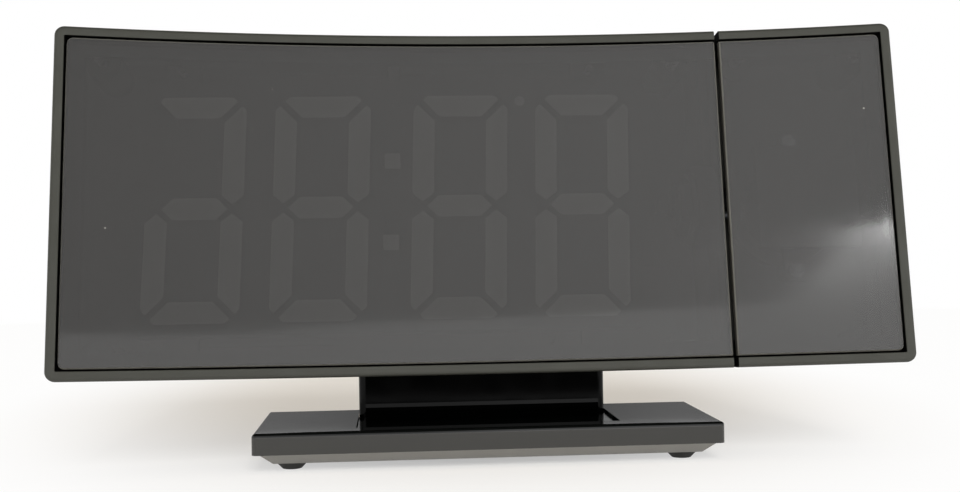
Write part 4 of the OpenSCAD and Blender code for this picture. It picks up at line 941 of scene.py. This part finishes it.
# the room in front of the panel: a pale field low down, which climbs at the right, under a duller one
def frontLevel(tree, axes):
    xs, zs = [x for x, z in fieldEdge], [z for x, z in fieldEdge]
    along = addRange(tree, axes["X"], xs[0], xs[-1], 0, 1)
    curve = addNode(tree, "ShaderNodeFloatCurve", links={"Value": along})
    line = curve.mapping.curves[0]
    spread = [((x - xs[0]) / (xs[-1] - xs[0]), (z - zs[0]) / (zs[-1] - zs[0])) for x, z in fieldEdge]
    line.points[0].location, line.points[1].location = spread[0], spread[-1]
    for x, z in spread[1:-1]:
        line.points.new(x, z)
    curve.mapping.update()
    edge = addRange(tree, curve.outputs[0], 0, 1, zs[0], zs[-1])
    below = addMath(tree, "SUBTRACT", edge, axes["Z"])
    inField = addRange(tree, below, -studio["fieldBlur"], studio["fieldBlur"], 0, 1, True)
    upper = addRange(tree, axes["X"], *studio["levelSpan"], *studio["upperLevel"])
    strip = addRange(tree, axes["X"], *studio["levelSpan"], *studio["stripLevel"])
    climb = addMath(tree, "POWER", addRange(tree, axes["X"], *studio["glowSpan"], 0, 1), studio["glowClimb"])
    peak = addMath(tree, "MULTIPLY", climb, studio["glowLevel"])
    fall = addMath(tree, "EXPONENT", addMath(tree, "DIVIDE", below, -studio["glowFall"]))
    field = addMath(tree, "ADD", strip, addMath(tree, "MULTIPLY", peak, fall))
    rise = addMath(tree, "SUBTRACT", field, upper)
    return addMath(tree, "ADD", upper, addMath(tree, "MULTIPLY", inField, rise))


# the room behind, low down, which the top of the base mirrors: darker in the middle
def rearLevel(tree, axes):
    far = addMath(tree, "ABSOLUTE", addMath(tree, "SUBTRACT", axes["X"], studio["rearMiddle"]))
    return addRange(tree, far, 0.0, studio["rearReach"], *studio["rearLevel"], True)


# the sky is brighter overhead; mirrors, glass and the camera see it white
def makeWorld():
    world = bpy.data.worlds.new("softRoom")
    world.use_nodes = True
    tree = world.node_tree
    tree.nodes.clear()
    place = addNode(tree, "ShaderNodeTexCoord").outputs["Generated"]
    up = addNode(tree, "ShaderNodeSeparateXYZ", links={0: place})
    sky = addRange(tree, up.outputs["Z"], 0.0, 1.0, studio["skyLow"], studio["skyLow"] + studio["skyHigh"])
    room = addNode(tree, "ShaderNodeBackground", {"Color": fromHex(studio["skyColour"])}, {"Strength": sky})
    white = addNode(tree, "ShaderNodeBackground", {"Color": (1, 1, 1, 1), "Strength": 1.0})
    mix = addNode(tree, "ShaderNodeMixShader", links={
        0: seenRays(tree), 1: room.outputs[0], 2: white.outputs[0]})
    addNode(tree, "ShaderNodeOutputWorld", links={"Surface": mix.outputs[0]})
    bpy.context.scene.world = world


def makeLamp(name, place, size, power):
    data = bpy.data.lights.new(name, "AREA")
    data.size = size
    data.energy = power
    lamp = bpy.data.objects.new(name, data)
    lamp.location = place
    lamp.visible_glossy = False    # mirrors show the cards and the white room, not the lamp
    lamp.rotation_euler = (Vector((0, 0, 0.05)) - Vector(place)).to_track_quat("-Z", "Y").to_euler()
    bpy.context.scene.collection.objects.link(lamp)
    return lamp


makeFloor()
makeWorld()
makeLamp("keyLight", studio["keyPlace"], studio["keySize"], studio["keyPower"])
makeCard("roomInFront", [(-3, -2.5, 0), (3, -2.5, 0), (3, -2.5, 2.2), (-3, -2.5, 2.2)], frontLevel)
makeCard("roomBehind", [(-0.6, 0.6, 0), (0.6, 0.6, 0), (0.6, 0.6, 0.104), (-0.6, 0.6, 0.104)], rearLevel)
# dark cards on the table in front and overhead, so that the black stand doesn't mirror white floor and sky
makeCard("tableInFront", [(-0.06, -0.40, 0.0005), (0.09, -0.40, 0.0005), (0.09, -0.092, 0.0005),
                          (-0.06, -0.092, 0.0005)], studio["darkLevel"])
makeCard("darkOverhead", [(-1.2, -1.1, 0.9), (1.2, -1.1, 0.9), (1.2, 0.6, 0.9), (-1.2, 0.6, 0.9)],
         studio["darkLevel"])

# camera, where the photograph was taken from
shot = dict(
    place=(-0.02075, -0.28385, 0.04873),
    yaw=math.radians(4.07),
    pitch=math.radians(0.08),
    roll=math.radians(-0.9345),
    lens=45.3,
)


def makeCamera():
    yaw, pitch, roll = shot["yaw"], shot["pitch"], shot["roll"]
    forward = Vector((math.sin(yaw) * math.cos(pitch), math.cos(yaw) * math.cos(pitch), math.sin(pitch)))
    right = Vector((math.cos(yaw), -math.sin(yaw), 0))
    up = right.cross(forward)
    side = right * math.cos(roll) + up * math.sin(roll)
    top = up * math.cos(roll) - right * math.sin(roll)
    data = bpy.data.cameras.new("shotCamera")
    data.lens = shot["lens"]
    data.sensor_width = 36
    camera = bpy.data.objects.new("shotCamera", data)
    bpy.context.scene.collection.objects.link(camera)
    turn = Matrix((side, top, -forward)).transposed().to_4x4()
    camera.matrix_world = Matrix.Translation(shot["place"]) @ turn
    bpy.context.scene.camera = camera


makeCamera()
bpy.context.scene.view_settings.view_transform = "Standard"
print("studio and camera ready")

bpy.context.view_layer.update()
